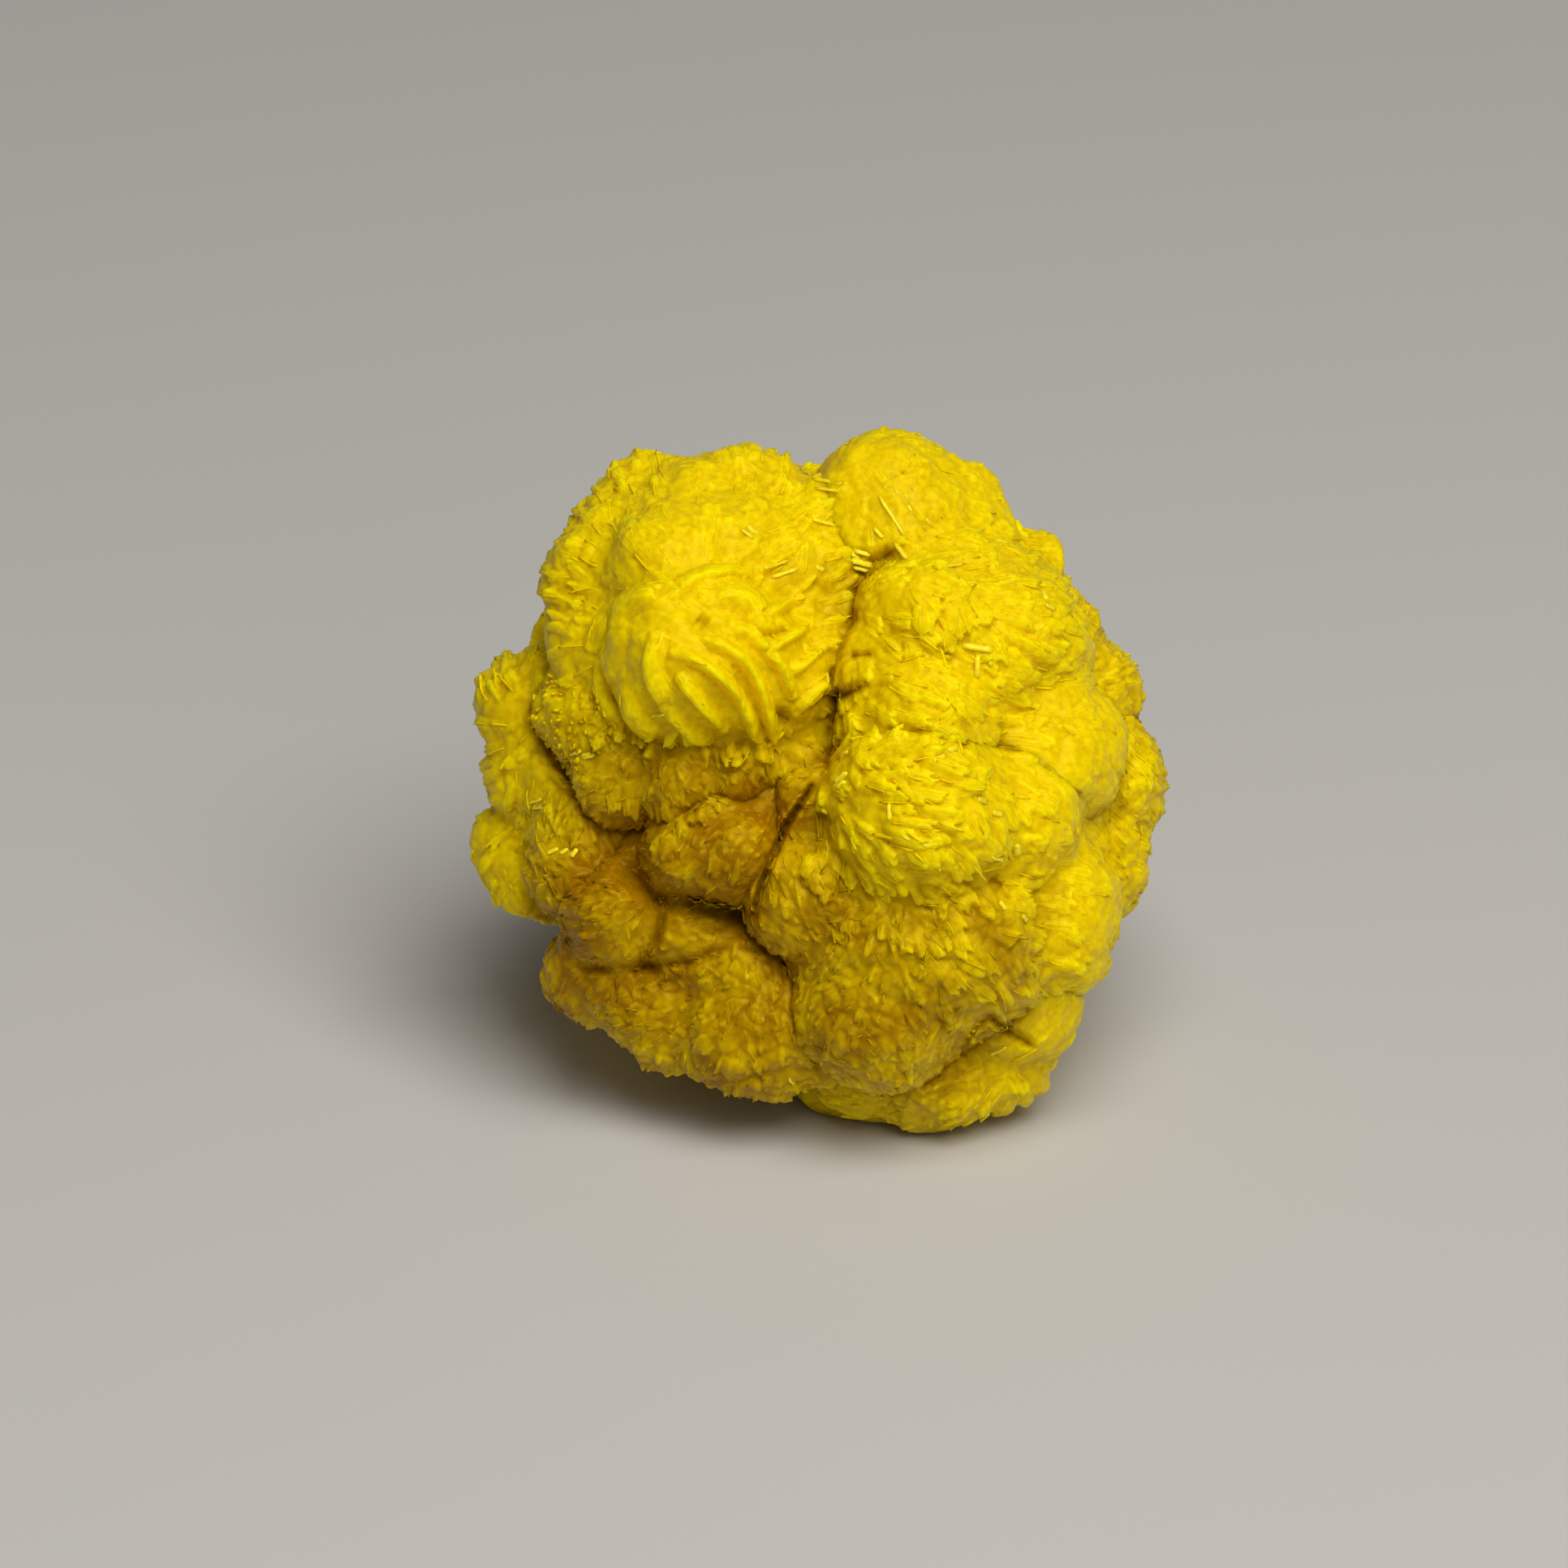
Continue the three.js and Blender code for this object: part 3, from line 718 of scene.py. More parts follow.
def make_masses(props, crystals):
    """The masses, each a skin covered with overlapping plates."""
    bases = {name: fused(raw_mass(name, props.swell), ROUGH_GRID, props.smoothing // 2)
             for name in MASSES}
    tree = tree_of(bases.values())
    field = Field(tree)
    meshes = {}
    for turn, (name, base) in enumerate(bases.items()):
        growth = Growth(base, name, field)
        mesh = fused(raw_mass(name, props.swell), props.grid * COARSER.get(name, 1.0),
                     props.smoothing)
        mesh = thin_hidden(mesh, field.owner(mesh_arrays(mesh)[0], name)[1] < KEPT_FROM)
        store(mesh, "gap", field.owner(mesh_arrays(mesh)[0], name)[1])
        spread_open(mesh, tree, field)
        split_open(mesh)
        mesh.name = name
        relief = Relief(mesh)
        for number, habit in enumerate(PLATES):
            seed = SEEDS["plates"] + 10 * turn + number + crystals.seed
            lay_plates(growth, relief, habit, crystals, seed)
        lay_rows(tree, relief, crystals)
        if name == "left_crown":
            for petal in PETALS:
                relief.petal(*petal)
        lumps = field.spread(relief.places, name, [LUMPS[lobe.kind] for lobe in LOBES])
        relief.apply(mesh, props, lumps)
        open_clefts(mesh)
        meshes[name] = mesh
    return meshes


class Relief:
    """Overlapping plates, drawn as heights over the corners of a skin."""

    CELL = 0.4      # side in mm of the cells that corners are looked up in
    HOME = 512      # number of the cell at the origin, along each axis
    SPAN = 1024     # cells along each axis
    SOFT = 0.04     # width in mm over which a plate's edge falls
    APART = (7.3, 3.1, 5.7)   # steps between plates in the noises of edge, length and width

    def __init__(self, mesh):
        self.places, self.normals, _ = mesh_arrays(mesh)
        cells = np.floor(self.places / self.CELL).astype(int) + self.HOME
        code = self.code(*cells.T)
        self.order = np.argsort(code, kind="stable")
        codes, starts = np.unique(code[self.order], return_index=True)
        ends = np.append(starts[1:], len(code))
        self.cells = {key: (start, end) for key, start, end in zip(
            codes.tolist(), starts.tolist(), ends.tolist())}
        count = len(self.places)
        self.height, self.tip, self.groove, self.along, self.across = np.zeros((5, count))
        self.tint = np.full(count, 0.5)
        self.course = np.zeros((count, 3))
        self.owner = np.zeros(count, int)
        self.number = 0

    def code(self, x, y, z):
        """One number for a cell."""
        return (x * self.SPAN + y) * self.SPAN + z

    def near(self, point, reach):
        """The corners that are about so near a point."""
        low = np.floor((point - reach) / self.CELL).astype(int) + self.HOME
        high = np.floor((point + reach) / self.CELL).astype(int) + self.HOME + 1
        found = [self.order[slice(*self.cells[key])]
                 for x in range(low[0], high[0]) for y in range(low[1], high[1])
                 for key in range(self.code(x, y, low[2]), self.code(x, y, high[2]))
                 if key in self.cells]
        return np.concatenate(found) if found else np.zeros(0, int)

    def plate(self, foot, along, normal, length, half_width, stand, bend, rag, groove, tint):
        """One plate, which widens to a ragged free end."""
        self.number += 1
        near = self.near(foot + along * length / 2, 0.55 * max(length, 2 * half_width))
        if not len(near):
            return
        across = np.cross(normal, along)
        offset = self.places[near] - foot
        ahead, aside = offset @ along + bend, offset @ across
        reach = np.hypot(ahead, aside)
        x = (reach - bend) / length
        y = np.arctan2(aside, ahead) * (bend + length)
        edge = plane_noise(y / rag + self.number * self.APART[0], np.zeros(len(y)))
        end = 1 - 0.28 * edge - 0.20 * (y / half_width) ** 2
        rise = np.clip(x / 0.8, 0, 1) ** 0.8
        fall = np.clip((end - x) * length / self.SOFT, 0, 1)
        flank = np.clip((half_width - np.abs(y)) / self.SOFT, 0, 1)
        height = stand * rise * fall * flank * (1 - 0.3 * np.clip(y / half_width, -1, 1) ** 2)
        faces = self.normals[near] @ normal > 0.3
        shallow = np.abs(offset @ normal) < 0.2 + 0.5 * length
        better = faces & shallow & (height > self.height[near])
        chosen = near[better]
        self.height[chosen] = height[better]
        self.along[chosen] = x[better] * length + self.number * self.APART[1]
        self.across[chosen] = y[better] + self.number * self.APART[2]
        self.tip[chosen] = np.clip(x[better] / np.maximum(end[better], 0.1), 0, 1)
        self.tint[chosen] = tint
        self.groove[chosen] = groove
        self.owner[chosen] = self.number
        course = (ahead / reach)[better, None] * along + (aside / reach)[better, None] * across
        self.course[chosen] = course

    def petal(self, path, width, stand, lean):
        """A soft ridge along a path of the front view, steeper on one side."""
        self.number += 1
        path = np.array(path)
        for _ in range(2):
            early, late = path[:-1] * 0.75 + path[1:] * 0.25, path[:-1] * 0.25 + path[1:] * 0.75
            middle = np.stack((early, late), axis=1).reshape(-1, 2)
            path = np.concatenate((path[:1], middle, path[-1:]))
        seen = front_view(self.places)
        gap, share = distance_to_path(seen, path)
        facing = self.normals @ np.array(EYE_FORWARD) < -0.1
        near = np.flatnonzero((gap < width) & facing)
        if not len(near):
            return
        steps = np.linspace(0, 1, len(path))
        run = np.stack([np.interp(np.clip(share[near] + d, 0, 1), steps, path[:, k])
                        for d in (-0.1, 0.1) for k in (0, 1)], axis=1)
        run = unit(run[:, 2:] - run[:, :2])
        middle = np.stack([np.interp(share[near], steps, path[:, k]) for k in (0, 1)], axis=1)
        offset = seen[near] - middle
        side = (offset[:, 0] * run[:, 1] - offset[:, 1] * run[:, 0]) / width
        side = side * np.sign(lean)
        taper = np.sin(np.pi * np.clip(0.06 + 0.88 * share[near], 0, 1)) ** 0.6
        crest = np.where(side > 0.25, (1 - side) / 0.75, (side + 1) / 1.25)
        crest = np.sin(np.pi / 2 * np.clip(crest, 0, 1)) ** 1.3
        height = stand * taper * crest * (gap[near] < width * 0.98)
        over = height > 0.02
        near, height = near[over], height[over]
        self.height[near] = np.maximum(height, 0.0) + 0.35 * self.height[near]
        self.across[near] = side[over] * width + self.number * self.APART[2]
        self.along[near] = share[near] * 2 + self.number * self.APART[1]
        self.tip[near] = np.clip(height / stand, 0, 1)
        self.groove[near] = 0.010
        self.owner[near] = self.number
        self.course[near] = (run[over, :1] * np.array(EYE_RIGHT)
                             + run[over, 1:] * np.array(EYE_UP))

    def apply(self, mesh, props, lumps):
        """Moves the corners out to their heights, and keeps what the finish needs, with its painted
        light and shade.
        """
        ridge = plane_noise(self.across / 0.075, self.along / 0.30)
        ridge = 1 - np.abs(2 * ridge - 1)
        grain = np.array([(noise.noise(Vector(point) * 6.0), noise.noise(Vector(point) * 1.9),
                           noise.noise(Vector(point) * 3.9)) for point in self.places])
        crease = np.abs(grain[:, 1:])
        lift = self.height + self.groove * (ridge - 0.5) + props.relief * grain[:, 0]
        lift += lumps * (2.0 * crease @ (1.0, 0.6) - 0.7)
        above = np.clip(self.places[:, 2] / 0.4, 0, 1)[:, None]
        moved = self.places + (self.normals * lift[:, None]
                               + self.course * (0.35 * self.height * self.tip)[:, None]) * above
        moved[:, 2] = np.maximum(moved[:, 2], 0.0)
        set_places(mesh, moved)
        # Painted shade: the colour is darker where the plates stand low and along the creases of the
        # lumps.
        low = np.clip(self.height / 0.10, 0, 1)
        deep = np.clip(crease / 0.20, 0, 1).prod(axis=1)
        deep = 1 - (1 - deep) * np.clip(lumps / 0.05, 0, 1) * 0.25
        store(mesh, "open", stored(mesh, "open") * (0.80 + 0.20 * low) * deep)
        # Painted light: free ends of plates and ridge crests are coloured paler, as if lit through.
        store(mesh, "tip", 0.25 + 0.45 * self.tip ** 2 + 0.25 * ridge * (self.groove > 0))
        store(mesh, "tint", self.tint)
        edges = rows_of(mesh.edges, "vertices", 2, np.int32)
        inner = (self.owner > 0).astype(float)
        inner[edges[self.owner[edges[:, 0]] != self.owner[edges[:, 1]]]] = 0.0
        store(mesh, "inner", inner)
        store(mesh, "along", self.along)
        store(mesh, "across", self.across)
        store(mesh, "course", self.course)
        mesh.update()
        print(mesh.name, sum(len(face.vertices) - 2 for face in mesh.polygons), "triangles")


def lay_plates(growth, relief, habit, props, seed):
    """Plates over the lobes of one kind, in the course that they grow in."""
    kind, per_mm2, length, half_width, stand, sway, twist, rag, groove = habit
    generator = np.random.default_rng(seed)
    points, normals, owners, _ = growth.seats(kind, per_mm2, generator)
    if not len(points):
        return
    courses = growth.field.grain(points, normals, owners)
    for point, normal, course in zip(points, normals, courses):
        drift = noise.noise(Vector(point) * 0.7) * 2.2
        turn = twist + sway * (drift + 0.4 * generator.normal())
        if generator.random() < 0.12:
            turn += 50 * generator.normal()
        side = np.cross(normal, course)
        course = course * math.cos(math.radians(turn)) + side * math.sin(math.radians(turn))
        size = 0.65 + 0.7 * generator.random()
        high = 0.55 + 0.75 * generator.random() ** 1.5
        relief.plate(point, course, normal, length * size * props.length,
                     half_width * (0.7 + 0.6 * generator.random()), stand * high * props.stand,
                     length * (0.4 + 1.6 * generator.random()), rag, groove, generator.random())


def lay_rows(tree, relief, props):
    """The rows of larger plates."""
    generator = np.random.default_rng(props.seed + SEEDS["rows"])
    for path, pointing, spacing, length, half_width, stand, rag in ROWS:
        path = np.array(path)
        runs = np.linalg.norm(np.diff(path, axis=0), axis=1)
        total = np.concatenate(([0], np.cumsum(runs)))
        for place in np.arange(0, total[-1], spacing):
            place += spacing * 0.5 * (generator.random() - 0.5)
            right, up = (np.interp(place, total, path[:, k]) for k in (0, 1))
            up += 0.06 * generator.normal()
            turn = math.radians(pointing + 16 * generator.normal())
            size, tint = 0.8 + 0.45 * generator.random(), generator.random()
            high = stand * (0.7 + 0.5 * generator.random())
            hit, normal, _, _ = tree.ray_cast(*sight_line(right, up))
            if hit is None:
                continue
            course = EYE_RIGHT * math.cos(turn) + EYE_UP * math.sin(turn)
            course = (course - normal * course.dot(normal)).normalized()
            relief.plate(np.array(hit), np.array(course), np.array(normal), length * size,
                         half_width * size, high, length, rag, GROOVE, tint)


def tree_of(meshes):
    """All the meshes as one tree for rays, in mm."""
    places, triangles, offset = [], [], 0
    for mesh in meshes:
        corners, _, faces = mesh_arrays(mesh)
        places.append(corners)
        triangles.append(faces + offset)
        offset += len(corners)
    return BVHTree.FromPolygons(np.concatenate(places).tolist(),
                                np.concatenate(triangles).tolist())


# ---- the crystals -------------------------------------------------------

def blade_shape(seed):
    """A blade on edge: its root at x = 0, its blunt end at x = 1, its free edge
    at y = 1 and its thickness in Z."""
    generator = np.random.default_rng(seed)
    bm = bmesh.new()
    bmesh.ops.create_grid(bm, x_segments=5, y_segments=1, size=0.5)
    for vert in bm.verts:
        share = vert.co.x + 0.5
        if vert.co.y > 0:
            rise = min(1.0, 0.2 + 4.0 * min(share, 1 - share))
            vert.co.y = rise * (1.0 - 0.2 * generator.random())
        else:
            vert.co.y = -1.6
        vert.co.x = share if vert.co.y > 0 else 0.07 + 0.86 * share
    bmesh.ops.solidify(bm, geom=list(bm.faces), thickness=1.0)
    return shape_of(bm)


def chip_shape(seed):
    """The same for the smallest crystals, with six faces alone."""
    generator = np.random.default_rng(seed)
    bm = bmesh.new()
    bmesh.ops.create_cube(bm, size=1.0)
    for vert in bm.verts:
        share = vert.co.x + 0.5
        if vert.co.y > 0:
            vert.co.y = (0.75 + 0.25 * share) * (1.0 - 0.3 * generator.random())
        else:
            vert.co.y = -1.4
        vert.co.x = share * (0.9 + 0.1 * generator.random())
    return shape_of(bm)


def shape_of(bm):
    """A small closed shape as its corners and faces, to be laid down many times."""
    bmesh.ops.recalc_face_normals(bm, faces=bm.faces)
    bm.verts.index_update()
    corners = np.array([vert.co for vert in bm.verts])
    corners = corners - (0, 0, (corners[:, 2].max() + corners[:, 2].min()) / 2)
    faces = [[vert.index for vert in face.verts] for face in bm.faces]
    bm.free()
    return corners, faces


class Bed:
    """Crystals to be laid down in one mesh."""

    def __init__(self):
        self.crystals = []

    def add(self, *crystal):
        """One crystal: foot, course, outward way, size, bow, tint and openness."""
        self.crystals.append(crystal)

    def lay(self, name, shapes, seed):
        """One mesh of all the crystals, each of which takes one of the shapes."""
        choice = np.random.default_rng(seed).integers(len(shapes), size=len(self.crystals))
        places, faces, tips, tints, opens = [], [], [], [], []
        start = 0
        for number in np.argsort(choice, kind="stable"):
            foot, along, out, size, bow, tint, openness = self.crystals[number]
            foot, along, out = np.array(foot), np.array(along), np.array(out)
            length, height, thickness = size
            corners, shape_faces = shapes[choice[number]]
            x, y, z = corners.T
            bend = bow * x * x * length
            places.append(foot + (x * length)[:, None] * along + (y * height)[:, None] * out
                          + (z * thickness + bend)[:, None] * np.cross(along, out))
            faces += [[index + start for index in face] for face in shape_faces]
            # Painted light: each crystal's free edge is coloured paler.
            tips.append(np.clip(y, 0, 1))
            tints.append(np.full(len(corners), tint))
            # Painted shade: each crystal takes the openness of its seat.
            opens.append(np.full(len(corners), openness))
            start += len(corners)
        places = np.concatenate(places)
        places[:, 2] = np.maximum(places[:, 2], LOWEST)
        mesh = bpy.data.meshes.new(name)
        mesh.from_pydata((places * MM).tolist(), [], faces, shade_flat=False)
        for key, values in (("tip", tips), ("tint", tints), ("open", opens)):
            store(mesh, key, np.concatenate(values))
        print(name, len(choice), "crystals", sum(len(face) - 2 for face in faces), "triangles")
        return mesh


class Growth:
    """Seats for crystals on one mass."""

    def __init__(self, mesh, mass, field):
        self.places, self.normals, self.triangles = mesh_arrays(mesh)
        self.mass, self.field = mass, field
        self.tree = BVHTree.FromPolygons(self.places.tolist(), self.triangles.tolist())
        a, b, c = (self.places[self.triangles[:, k]] for k in range(3))
        self.areas = np.linalg.norm(np.cross(b - a, c - a), axis=1) / 2
        self.open = np.ones(len(self.places))
        if "open" in mesh.attributes:
            self.open, self.course = stored(mesh, "open"), stored(mesh, "course")

    def seats(self, kind, per_mm2, generator):
        """Evenly scattered points on the lobes of one kind."""
        count = int(self.areas.sum() * per_mm2 * SEAT_TRIES)
        chosen = generator.choice(len(self.areas), size=count, p=self.areas / self.areas.sum())
        weights = generator.dirichlet((1, 1, 1), size=count)[:, :, None]
        corners = self.triangles[chosen]
        points = np.sum(self.places[corners] * weights, axis=1)
        normals = unit(np.sum(self.normals[corners] * weights, axis=1))
        openness = np.sum(self.open[corners] * weights[..., 0], axis=1)
        owners, gaps = self.field.owner(points, self.mass)
        keep = (self.field.kinds[owners] == kind) & (gaps > SEAT_DEEPEST)
        keep &= points[:, 2] > SEAT_LOWEST
        points, normals, owners, openness = (
            values[keep] for values in (points, normals, owners, openness))
        space = SEAT_SPACING / math.sqrt(per_mm2)
        cells, taken = {}, []
        for i, point in enumerate(points):
            home = tuple(np.floor(point / space).astype(int))
            close = (cells.get((home[0] + u, home[1] + v, home[2] + w), ())
                     for u in (-1, 0, 1) for v in (-1, 0, 1) for w in (-1, 0, 1))
            if all(np.sum((points[j] - point) ** 2) > space ** 2 for some in close for j in some):
                cells.setdefault(home, []).append(i)
                taken.append(i)
        return points[taken], normals[taken], owners[taken], openness[taken]


def lay_thin(growth, bed, kind, props, seed):
    """Thin crystals on edge, each in the course of the plate that it stands on."""
    per_mm2, length, stand, thickness, lift = THIN_KINDS[kind]
    generator = np.random.default_rng(seed)
    points, normals, owners, openness = growth.seats(kind, per_mm2 * props.density, generator)
    if not len(points):
        return
    outward = unit(points - growth.field.centres[owners])
    finder = finder_of(growth.places)
    for point, normal, away, openness_here in zip(points, normals, outward, openness):
        if openness_here < 0.2 or normal @ away < 0.3:
            continue
        course = Vector(growth.course[finder.find(point)[1]])
        normal = Vector(normal + 0.5 * away).normalized()
        course = course - normal * course.dot(normal)
        if course.length < 0.3:
            continue
        course = Matrix.Rotation(0.16 * generator.normal(), 3, normal) @ course.normalized()
        size = (length * props.length * (0.6 + 0.8 * generator.random()),
                stand * props.stand * (0.6 + 0.9 * generator.random()),
                thickness * props.thickness * (0.8 + 0.5 * generator.random()))
        foot = growth.tree.find_nearest(Vector(point) - course * size[0] * 0.4)[0]
        end = growth.tree.find_nearest(Vector(point) + course * size[0] * 0.4)[0]
        run = (end - foot).normalized()
        if run.dot(course) < 0.8:
            continue
        raised = math.radians(lift * generator.normal())
        along = run * math.cos(raised) + normal * math.sin(raised)
        side = along.cross(normal).normalized()
        tilt = math.radians(14 * generator.normal())
        out = side.cross(along) * math.cos(tilt) + side * math.sin(tilt)
        bed.add(foot, along, out, size, 0.1 * generator.normal(), generator.random(),
                openness_here)


# ---- finishes -----------------------------------------------------------

# The colour sockets of a Mix node, whose names it shares with other kinds.
COLOUR_A, COLOUR_B, COLOUR_OUT = 6, 7, 2

# How fine the noises in the yellow are, per metre, and its fibres, per mm.
PATCH_SCALE = 900.0
SPECK_SCALE = 9000.0
FIBRES_ACROSS = 22.0
FIBRES_ALONG = 2.5


def new_group(name, inputs, outputs):
    """An empty shader node group with its sockets."""
    group = bpy.data.node_groups.new(name, "ShaderNodeTree")
    for label, kind in inputs:
        group.interface.new_socket(label, in_out="INPUT", socket_type=kind)
    for label, kind in outputs:
        group.interface.new_socket(label, in_out="OUTPUT", socket_type=kind)
    return group


def fill(tree, socket, value):
    """Joins a socket to another one, or sets its value."""
    if isinstance(value, bpy.types.NodeSocket):
        tree.links.new(value, socket)
    else:
        socket.default_value = value


def wire(tree, kind, inputs=(), **settings):
    """A node, with its settings made and its sockets joined or filled."""
    node = tree.nodes.new(kind)
    for key, value in settings.items():
        setattr(node, key, value)
    for key, value in dict(inputs).items():
        fill(tree, node.inputs[key], value)
    return node


def attribute(tree, name):
    """One number that is kept on the mesh."""
    return wire(tree, "ShaderNodeAttribute", attribute_name=name).outputs["Fac"]


def ramp(tree, value, low, high, start=0.0, end=1.0):
    """A value taken from one range to another, and held at both ends."""
    return wire(tree, "ShaderNodeMapRange", {
        "Value": value, "From Min": low, "From Max": high,
        "To Min": start, "To Max": end}, interpolation_type="SMOOTHSTEP").outputs["Result"]


def blend_colour(tree, share, first, second, way="MIX"):
    """Two colours mixed."""
    node = wire(tree, "ShaderNodeMix", {"Factor": share}, data_type="RGBA", blend_type=way)
    fill(tree, node.inputs[COLOUR_A], first)
    fill(tree, node.inputs[COLOUR_B], second)
    return node.outputs[COLOUR_OUT]


def sum_of(tree, first, second, way="ADD"):
    """Two numbers added, or put together in another way."""
    return wire(tree, "ShaderNodeMath", {0: first, 1: second}, operation=way).outputs[0]


def noise_at(tree, where, scale, detail):
    """Smooth noise over places."""
    return wire(tree, "ShaderNodeTexNoise",
                {"Vector": where, "Scale": scale, "Detail": detail}).outputs["Fac"]


def crystal_colour_group():
    """The yellow, with painted light and shade: paler at free edges as painted light, deeper on faces,
    and orange-brown painted shade where little light reaches.
    """
    group = new_group(
        "crystal_colour",
        (("Tips", "NodeSocketColor"), ("Faces", "NodeSocketColor"),
         ("Painted shade", "NodeSocketColor")),
        (("Color", "NodeSocketColor"), ("Grain", "NodeSocketFloat"),
         ("Height", "NodeSocketFloat")))
    given = group.nodes.new("NodeGroupInput").outputs
    where = wire(group, "ShaderNodeTexCoord").outputs["Object"]
    patches = noise_at(group, where, PATCH_SCALE, 3.0)
    specks = noise_at(group, where, SPECK_SCALE, 2.0)
    on_plate = wire(group, "ShaderNodeCombineXYZ", {
        "X": sum_of(group, attribute(group, "across"), FIBRES_ACROSS, "MULTIPLY"),
        "Y": sum_of(group, attribute(group, "along"), FIBRES_ALONG, "MULTIPLY")})
    fibres = noise_at(group, on_plate.outputs["Vector"], 1.0, 1.0)
    tint = ramp(group, attribute(group, "tint"), 0.0, 1.0, -0.16, 0.16)
    # Painted light: free edges are coloured paler than the broad faces.
    edge = ramp(group, attribute(group, "tip"), 0.45, 1.0)
    edge = sum_of(group, edge, tint)
    inner = attribute(group, "inner")
    fibres = sum_of(group, sum_of(group, fibres, -0.5), inner, "MULTIPLY")
    streaks = ramp(group, fibres, -0.15, 0.15, -0.35, 0.45)
    edge = sum_of(group, edge, streaks)
    face = blend_colour(group, edge, given["Faces"], given["Tips"])
    # Painted shade: where a corner is little open to the light, its colour goes toward the shade colour,
    # in random patches.
    open_here = ramp(group, attribute(group, "open"), 0.12, 0.82)
    patchy = sum_of(group, ramp(group, patches, 0.3, 0.7, -0.5, 0.4),
                    ramp(group, open_here, 0.4, 1.0, 0.5, 0.12), "MULTIPLY")
    depth = sum_of(group, open_here, patchy)
    whole = blend_colour(group, depth, given["Painted shade"], face)
    stain = ramp(group, specks, 0.35, 0.65, 0.90, 1.04)
    stained = blend_colour(group, 1.0, whole, stain, "MULTIPLY")
    leave = wire(group, "NodeGroupOutput", {
        "Color": stained, "Grain": ramp(group, specks, 0.3, 0.7, 0.0, 1.0),
        "Height": sum_of(group, fibres, ramp(group, specks, 0.0, 1.0, 0.0, 0.3))})
    leave.is_active_output = True
    return group


def crystal_material(name, props, roughness, specular, scatter, bump, tips=None, faces=None):
    """A waxy crystal finish. Its colours vary, and the rest is set on the shader."""
    tips, faces = tips or props.bright, faces or props.middle
    group = bpy.data.node_groups.get("crystal_colour") or crystal_colour_group()
    material = bpy.data.materials.new(name)
    material.use_nodes = True
    tree = material.node_tree
    shader = tree.nodes["Principled BSDF"]
    colours = wire(tree, "ShaderNodeGroup", node_tree=group)
    for key, value in (("Tips", tips), ("Faces", faces), ("Painted shade", props.deep)):
        colours.inputs[key].default_value = (*value, 1.0)
    spread = wire(tree, "ShaderNodeMapRange", {
        "Value": colours.outputs["Grain"], "To Min": roughness - 0.08, "To Max": roughness + 0.08})
    height = wire(tree, "ShaderNodeBump", {
        "Height": colours.outputs["Height"], "Strength": bump, "Distance": 0.03 * MM})
    for key, value in {
            "Base Color": colours.outputs["Color"],
            "Roughness": spread.outputs["Result"],
            "Normal": height.outputs["Normal"],
            "Specular IOR Level": specular,
            "Specular Tint": (1.0, 0.82, 0.08, 1.0),
            "Subsurface Weight": scatter,
            "Subsurface Radius": (1.0, 0.85, 0.1),
            "Subsurface Scale": 0.36 * MM}.items():
        fill(tree, shader.inputs[key], value)
    return material


# ---- operators ----------------------------------------------------------

class VANURALITE_OT_masses(bpy.types.Operator):
    """The grown-together masses, with the clefts between them"""

    bl_idname = "vanuralite.masses"
    bl_label = "Masses"

    def execute(self, context):
        scene = context.scene
        finish = crystal_material("crystal_mass", scene.vanuralite_finish,
                                  scene.vanuralite_finish.roughness, 0.35, 0.7, 0.9)
        meshes = make_masses(scene.vanuralite_mass, scene.vanuralite_crystals)
        for name, mesh in meshes.items():
            mesh.shade_smooth()
            piece = link("mass_" + name, mesh, finish)
            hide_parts(NODE)
        return {"FINISHED"}


class VANURALITE_OT_thin_crystals(bpy.types.Operator):
    """The thin crystals whose free edges stand out of the masses"""

    bl_idname = "vanuralite.thin_crystals"
    bl_label = "Thin crystals"

    def execute(self, context):
        scene = context.scene
        props, crystals = scene.vanuralite_finish, scene.vanuralite_crystals
        finish = crystal_material("crystal_thin", props, props.roughness, 0.3, 0.0, 0.15)
        masses = {name: bpy.data.objects["mass_" + name].data for name in MASSES}
        field = Field(tree_of(masses.values()))
        beds = {"thin_blades": Bed(), "thin_chips": Bed()}
        for turn, (name, mesh) in enumerate(masses.items()):
            growth = Growth(mesh, name, field)
            for number, kind in enumerate(THIN_KINDS):
                bed = beds["thin_chips" if kind in ("crumb", "druse") else "thin_blades"]
                seed = SEEDS["thin"] + 10 * turn + number + crystals.seed
                lay_thin(growth, bed, kind, crystals, seed)
        shapes = {"thin_blades": blade_shape, "thin_chips": chip_shape}
        for name, bed in beds.items():
            forms = [shapes[name](seed) for seed in range(BLADE_SHAPES)]
            link(name, bed.lay(name, forms, SEEDS["crystal_bed"]), finish)
        return {"FINISHED"}


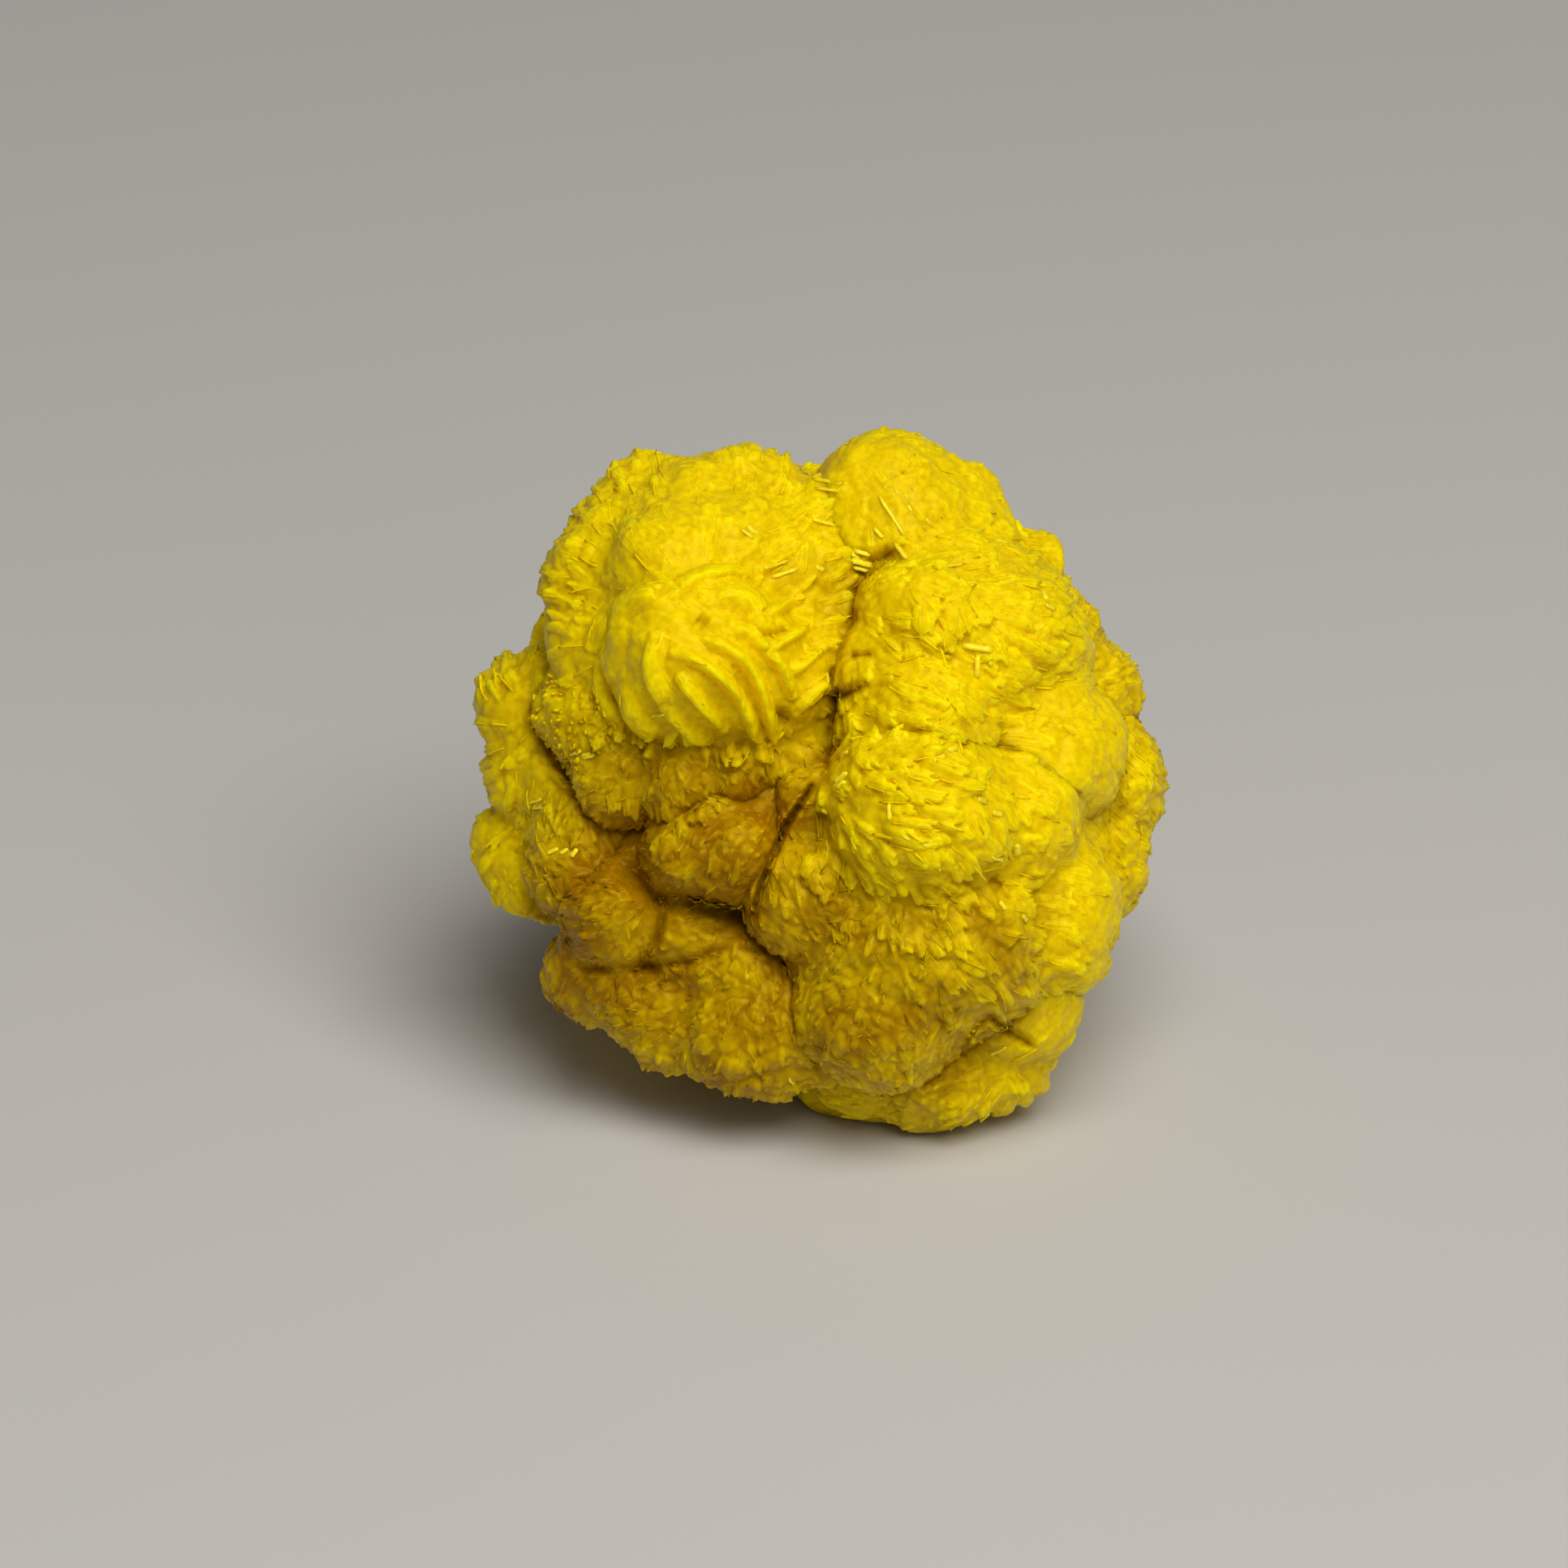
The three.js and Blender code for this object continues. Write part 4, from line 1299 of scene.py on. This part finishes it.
class VANURALITE_OT_needles(bpy.types.Operator):
    """Single flat crystals on the front that catch the light, turned toward the key light and coloured
    paler as a painted highlight
    """

    bl_idname = "vanuralite.needles"
    bl_label = "Bright needles"

    def execute(self, context):
        scene = context.scene
        props = scene.vanuralite_finish
        # Painted highlight: the needles are coloured paler than the rest, on top of their glossy,
        # light-facing faces.
        finish = crystal_material("crystal_bright", props, 0.20, 1.0, 0.0, 0.1,
                                  tips=props.painted_glint, faces=props.bright)
        tree = tree_of(bpy.data.objects["mass_" + name].data for name in MASSES)
        toward = -EYE_FORWARD + KEY_PLACE.normalized()
        bed = Bed()
        for right, up, far_right, far_up, stand in NEEDLES:
            foot, normal, _, _ = tree.ray_cast(*sight_line(right, up))
            end = tree.ray_cast(*sight_line(far_right, far_up))[0]
            if foot is None or end is None or (end - foot).length > NEEDLE_LONGEST:
                continue
            middle = tree.ray_cast(*sight_line((right + far_right) / 2, (up + far_up) / 2))[0]
            if (middle - (foot + end) / 2).length > NEEDLE_SAG:
                continue
            along = (end - foot).normalized()
            face = (toward - along * toward.dot(along)).normalized()
            out = along.cross(face).normalized()
            if out.dot(normal) < 0:
                out = -out
            size = ((end - foot).length, 0.5 * stand, NEEDLE_THICK)
            # The tint of 0.9 paints their free edges paler still.
            bed.add(foot + normal * NEEDLE_LIFT, along, out, size, 0.0, 0.9, 1.0)
        forms = [blade_shape(SEEDS["needle_shape"])]
        link("bright_needles", bed.lay("bright_needles", forms, SEEDS["needle_bed"]), finish)
        return {"FINISHED"}


def add_light(name, strength):
    """One of the lamps, aimed at the cluster."""
    place, size, tone = LAMPS[name]
    place, aim = place * MM, LAMP_AIM * MM
    lamp = bpy.data.lights.new(name, "AREA")
    lamp.shape = "SQUARE"
    lamp.size = size * MM
    lamp.color = tone
    lamp.energy = strength * math.pi * (place - aim).length ** 2
    light = bpy.data.objects.new(name, lamp)
    bpy.context.scene.collection.objects.link(light)
    light.location = place
    light.rotation_euler = (aim - place).to_track_quat("-Z", "Y").to_euler()


class VANURALITE_OT_stage(bpy.types.Operator):
    """The floor, the lights and the camera"""

    bl_idname = "vanuralite.stage"
    bl_label = "Stage"

    def execute(self, context):
        props = context.scene.vanuralite_stage
        bm = bmesh.new()
        bmesh.ops.create_grid(bm, x_segments=1, y_segments=1, size=FLOOR_SIZE * MM)
        mesh = bpy.data.meshes.new("floor")
        bm.to_mesh(mesh)
        bm.free()
        floor = bpy.data.objects.new("floor", mesh)
        context.scene.collection.objects.link(floor)
        material = bpy.data.materials.new("floor")
        material.use_nodes = True
        shader = material.node_tree.nodes["Principled BSDF"]
        shader.inputs["Base Color"].default_value = (*props.floor_colour, 1.0)
        shader.inputs["Roughness"].default_value = 0.6
        mesh.materials.append(material)

        add_light("key", props.key_strength)
        add_light("fill", props.fill_strength)
        world = bpy.data.worlds.new("studio")
        world.use_nodes = True
        background = world.node_tree.nodes["Background"]
        background.inputs["Color"].default_value = (1.0, 0.96, 0.88, 1.0)
        background.inputs["Strength"].default_value = props.sky_strength
        context.scene.world = world

        data = bpy.data.cameras.new("eye")
        data.sensor_width = 36.0
        data.lens = EYE_LENS
        data.clip_start = 10 * MM
        data.clip_end = 2.0
        camera = bpy.data.objects.new("eye", data)
        context.scene.collection.objects.link(camera)
        camera.location = EYE * MM
        camera.rotation_euler = EYE_FORWARD.to_track_quat("-Z", "Y").to_euler()
        context.scene.camera = camera
        context.scene.view_settings.view_transform = "Standard"
        return {"FINISHED"}


class VANURALITE_PT_panel(bpy.types.Panel):
    """Everything that the cluster is made with"""

    bl_label = "Vanuralite"
    bl_idname = "VANURALITE_PT_panel"
    bl_space_type = "VIEW_3D"
    bl_region_type = "UI"
    bl_category = "Vanuralite"

    def draw(self, context):
        for name in PROPS:
            box = self.layout.box()
            group = getattr(context.scene, name)
            for field in group.bl_rna.properties:
                if field.identifier not in ("rna_type", "name"):
                    box.prop(group, field.identifier)
        for operator in OPERATORS:
            self.layout.operator(operator.bl_idname)


PROPS = {
    "vanuralite_mass": VanuraliteMassProps,
    "vanuralite_crystals": VanuraliteCrystalProps,
    "vanuralite_finish": VanuraliteFinishProps,
    "vanuralite_stage": VanuraliteStageProps,
}

OPERATORS = (
    VANURALITE_OT_masses,
    VANURALITE_OT_thin_crystals,
    VANURALITE_OT_needles,
    VANURALITE_OT_stage,
)


def register():
    for name, group in PROPS.items():
        bpy.utils.register_class(group)
        setattr(bpy.types.Scene, name, PointerProperty(type=group))
    for operator in OPERATORS:
        bpy.utils.register_class(operator)
    bpy.utils.register_class(VANURALITE_PT_panel)


def unregister():
    bpy.utils.unregister_class(VANURALITE_PT_panel)
    for operator in reversed(OPERATORS):
        bpy.utils.unregister_class(operator)
    for name, group in PROPS.items():
        delattr(bpy.types.Scene, name)
        bpy.utils.unregister_class(group)


def main():
    register()
    bpy.ops.vanuralite.masses()
    bpy.ops.vanuralite.thin_crystals()
    bpy.ops.vanuralite.needles()
    bpy.ops.vanuralite.stage()


if __name__ == "__main__":
    main()
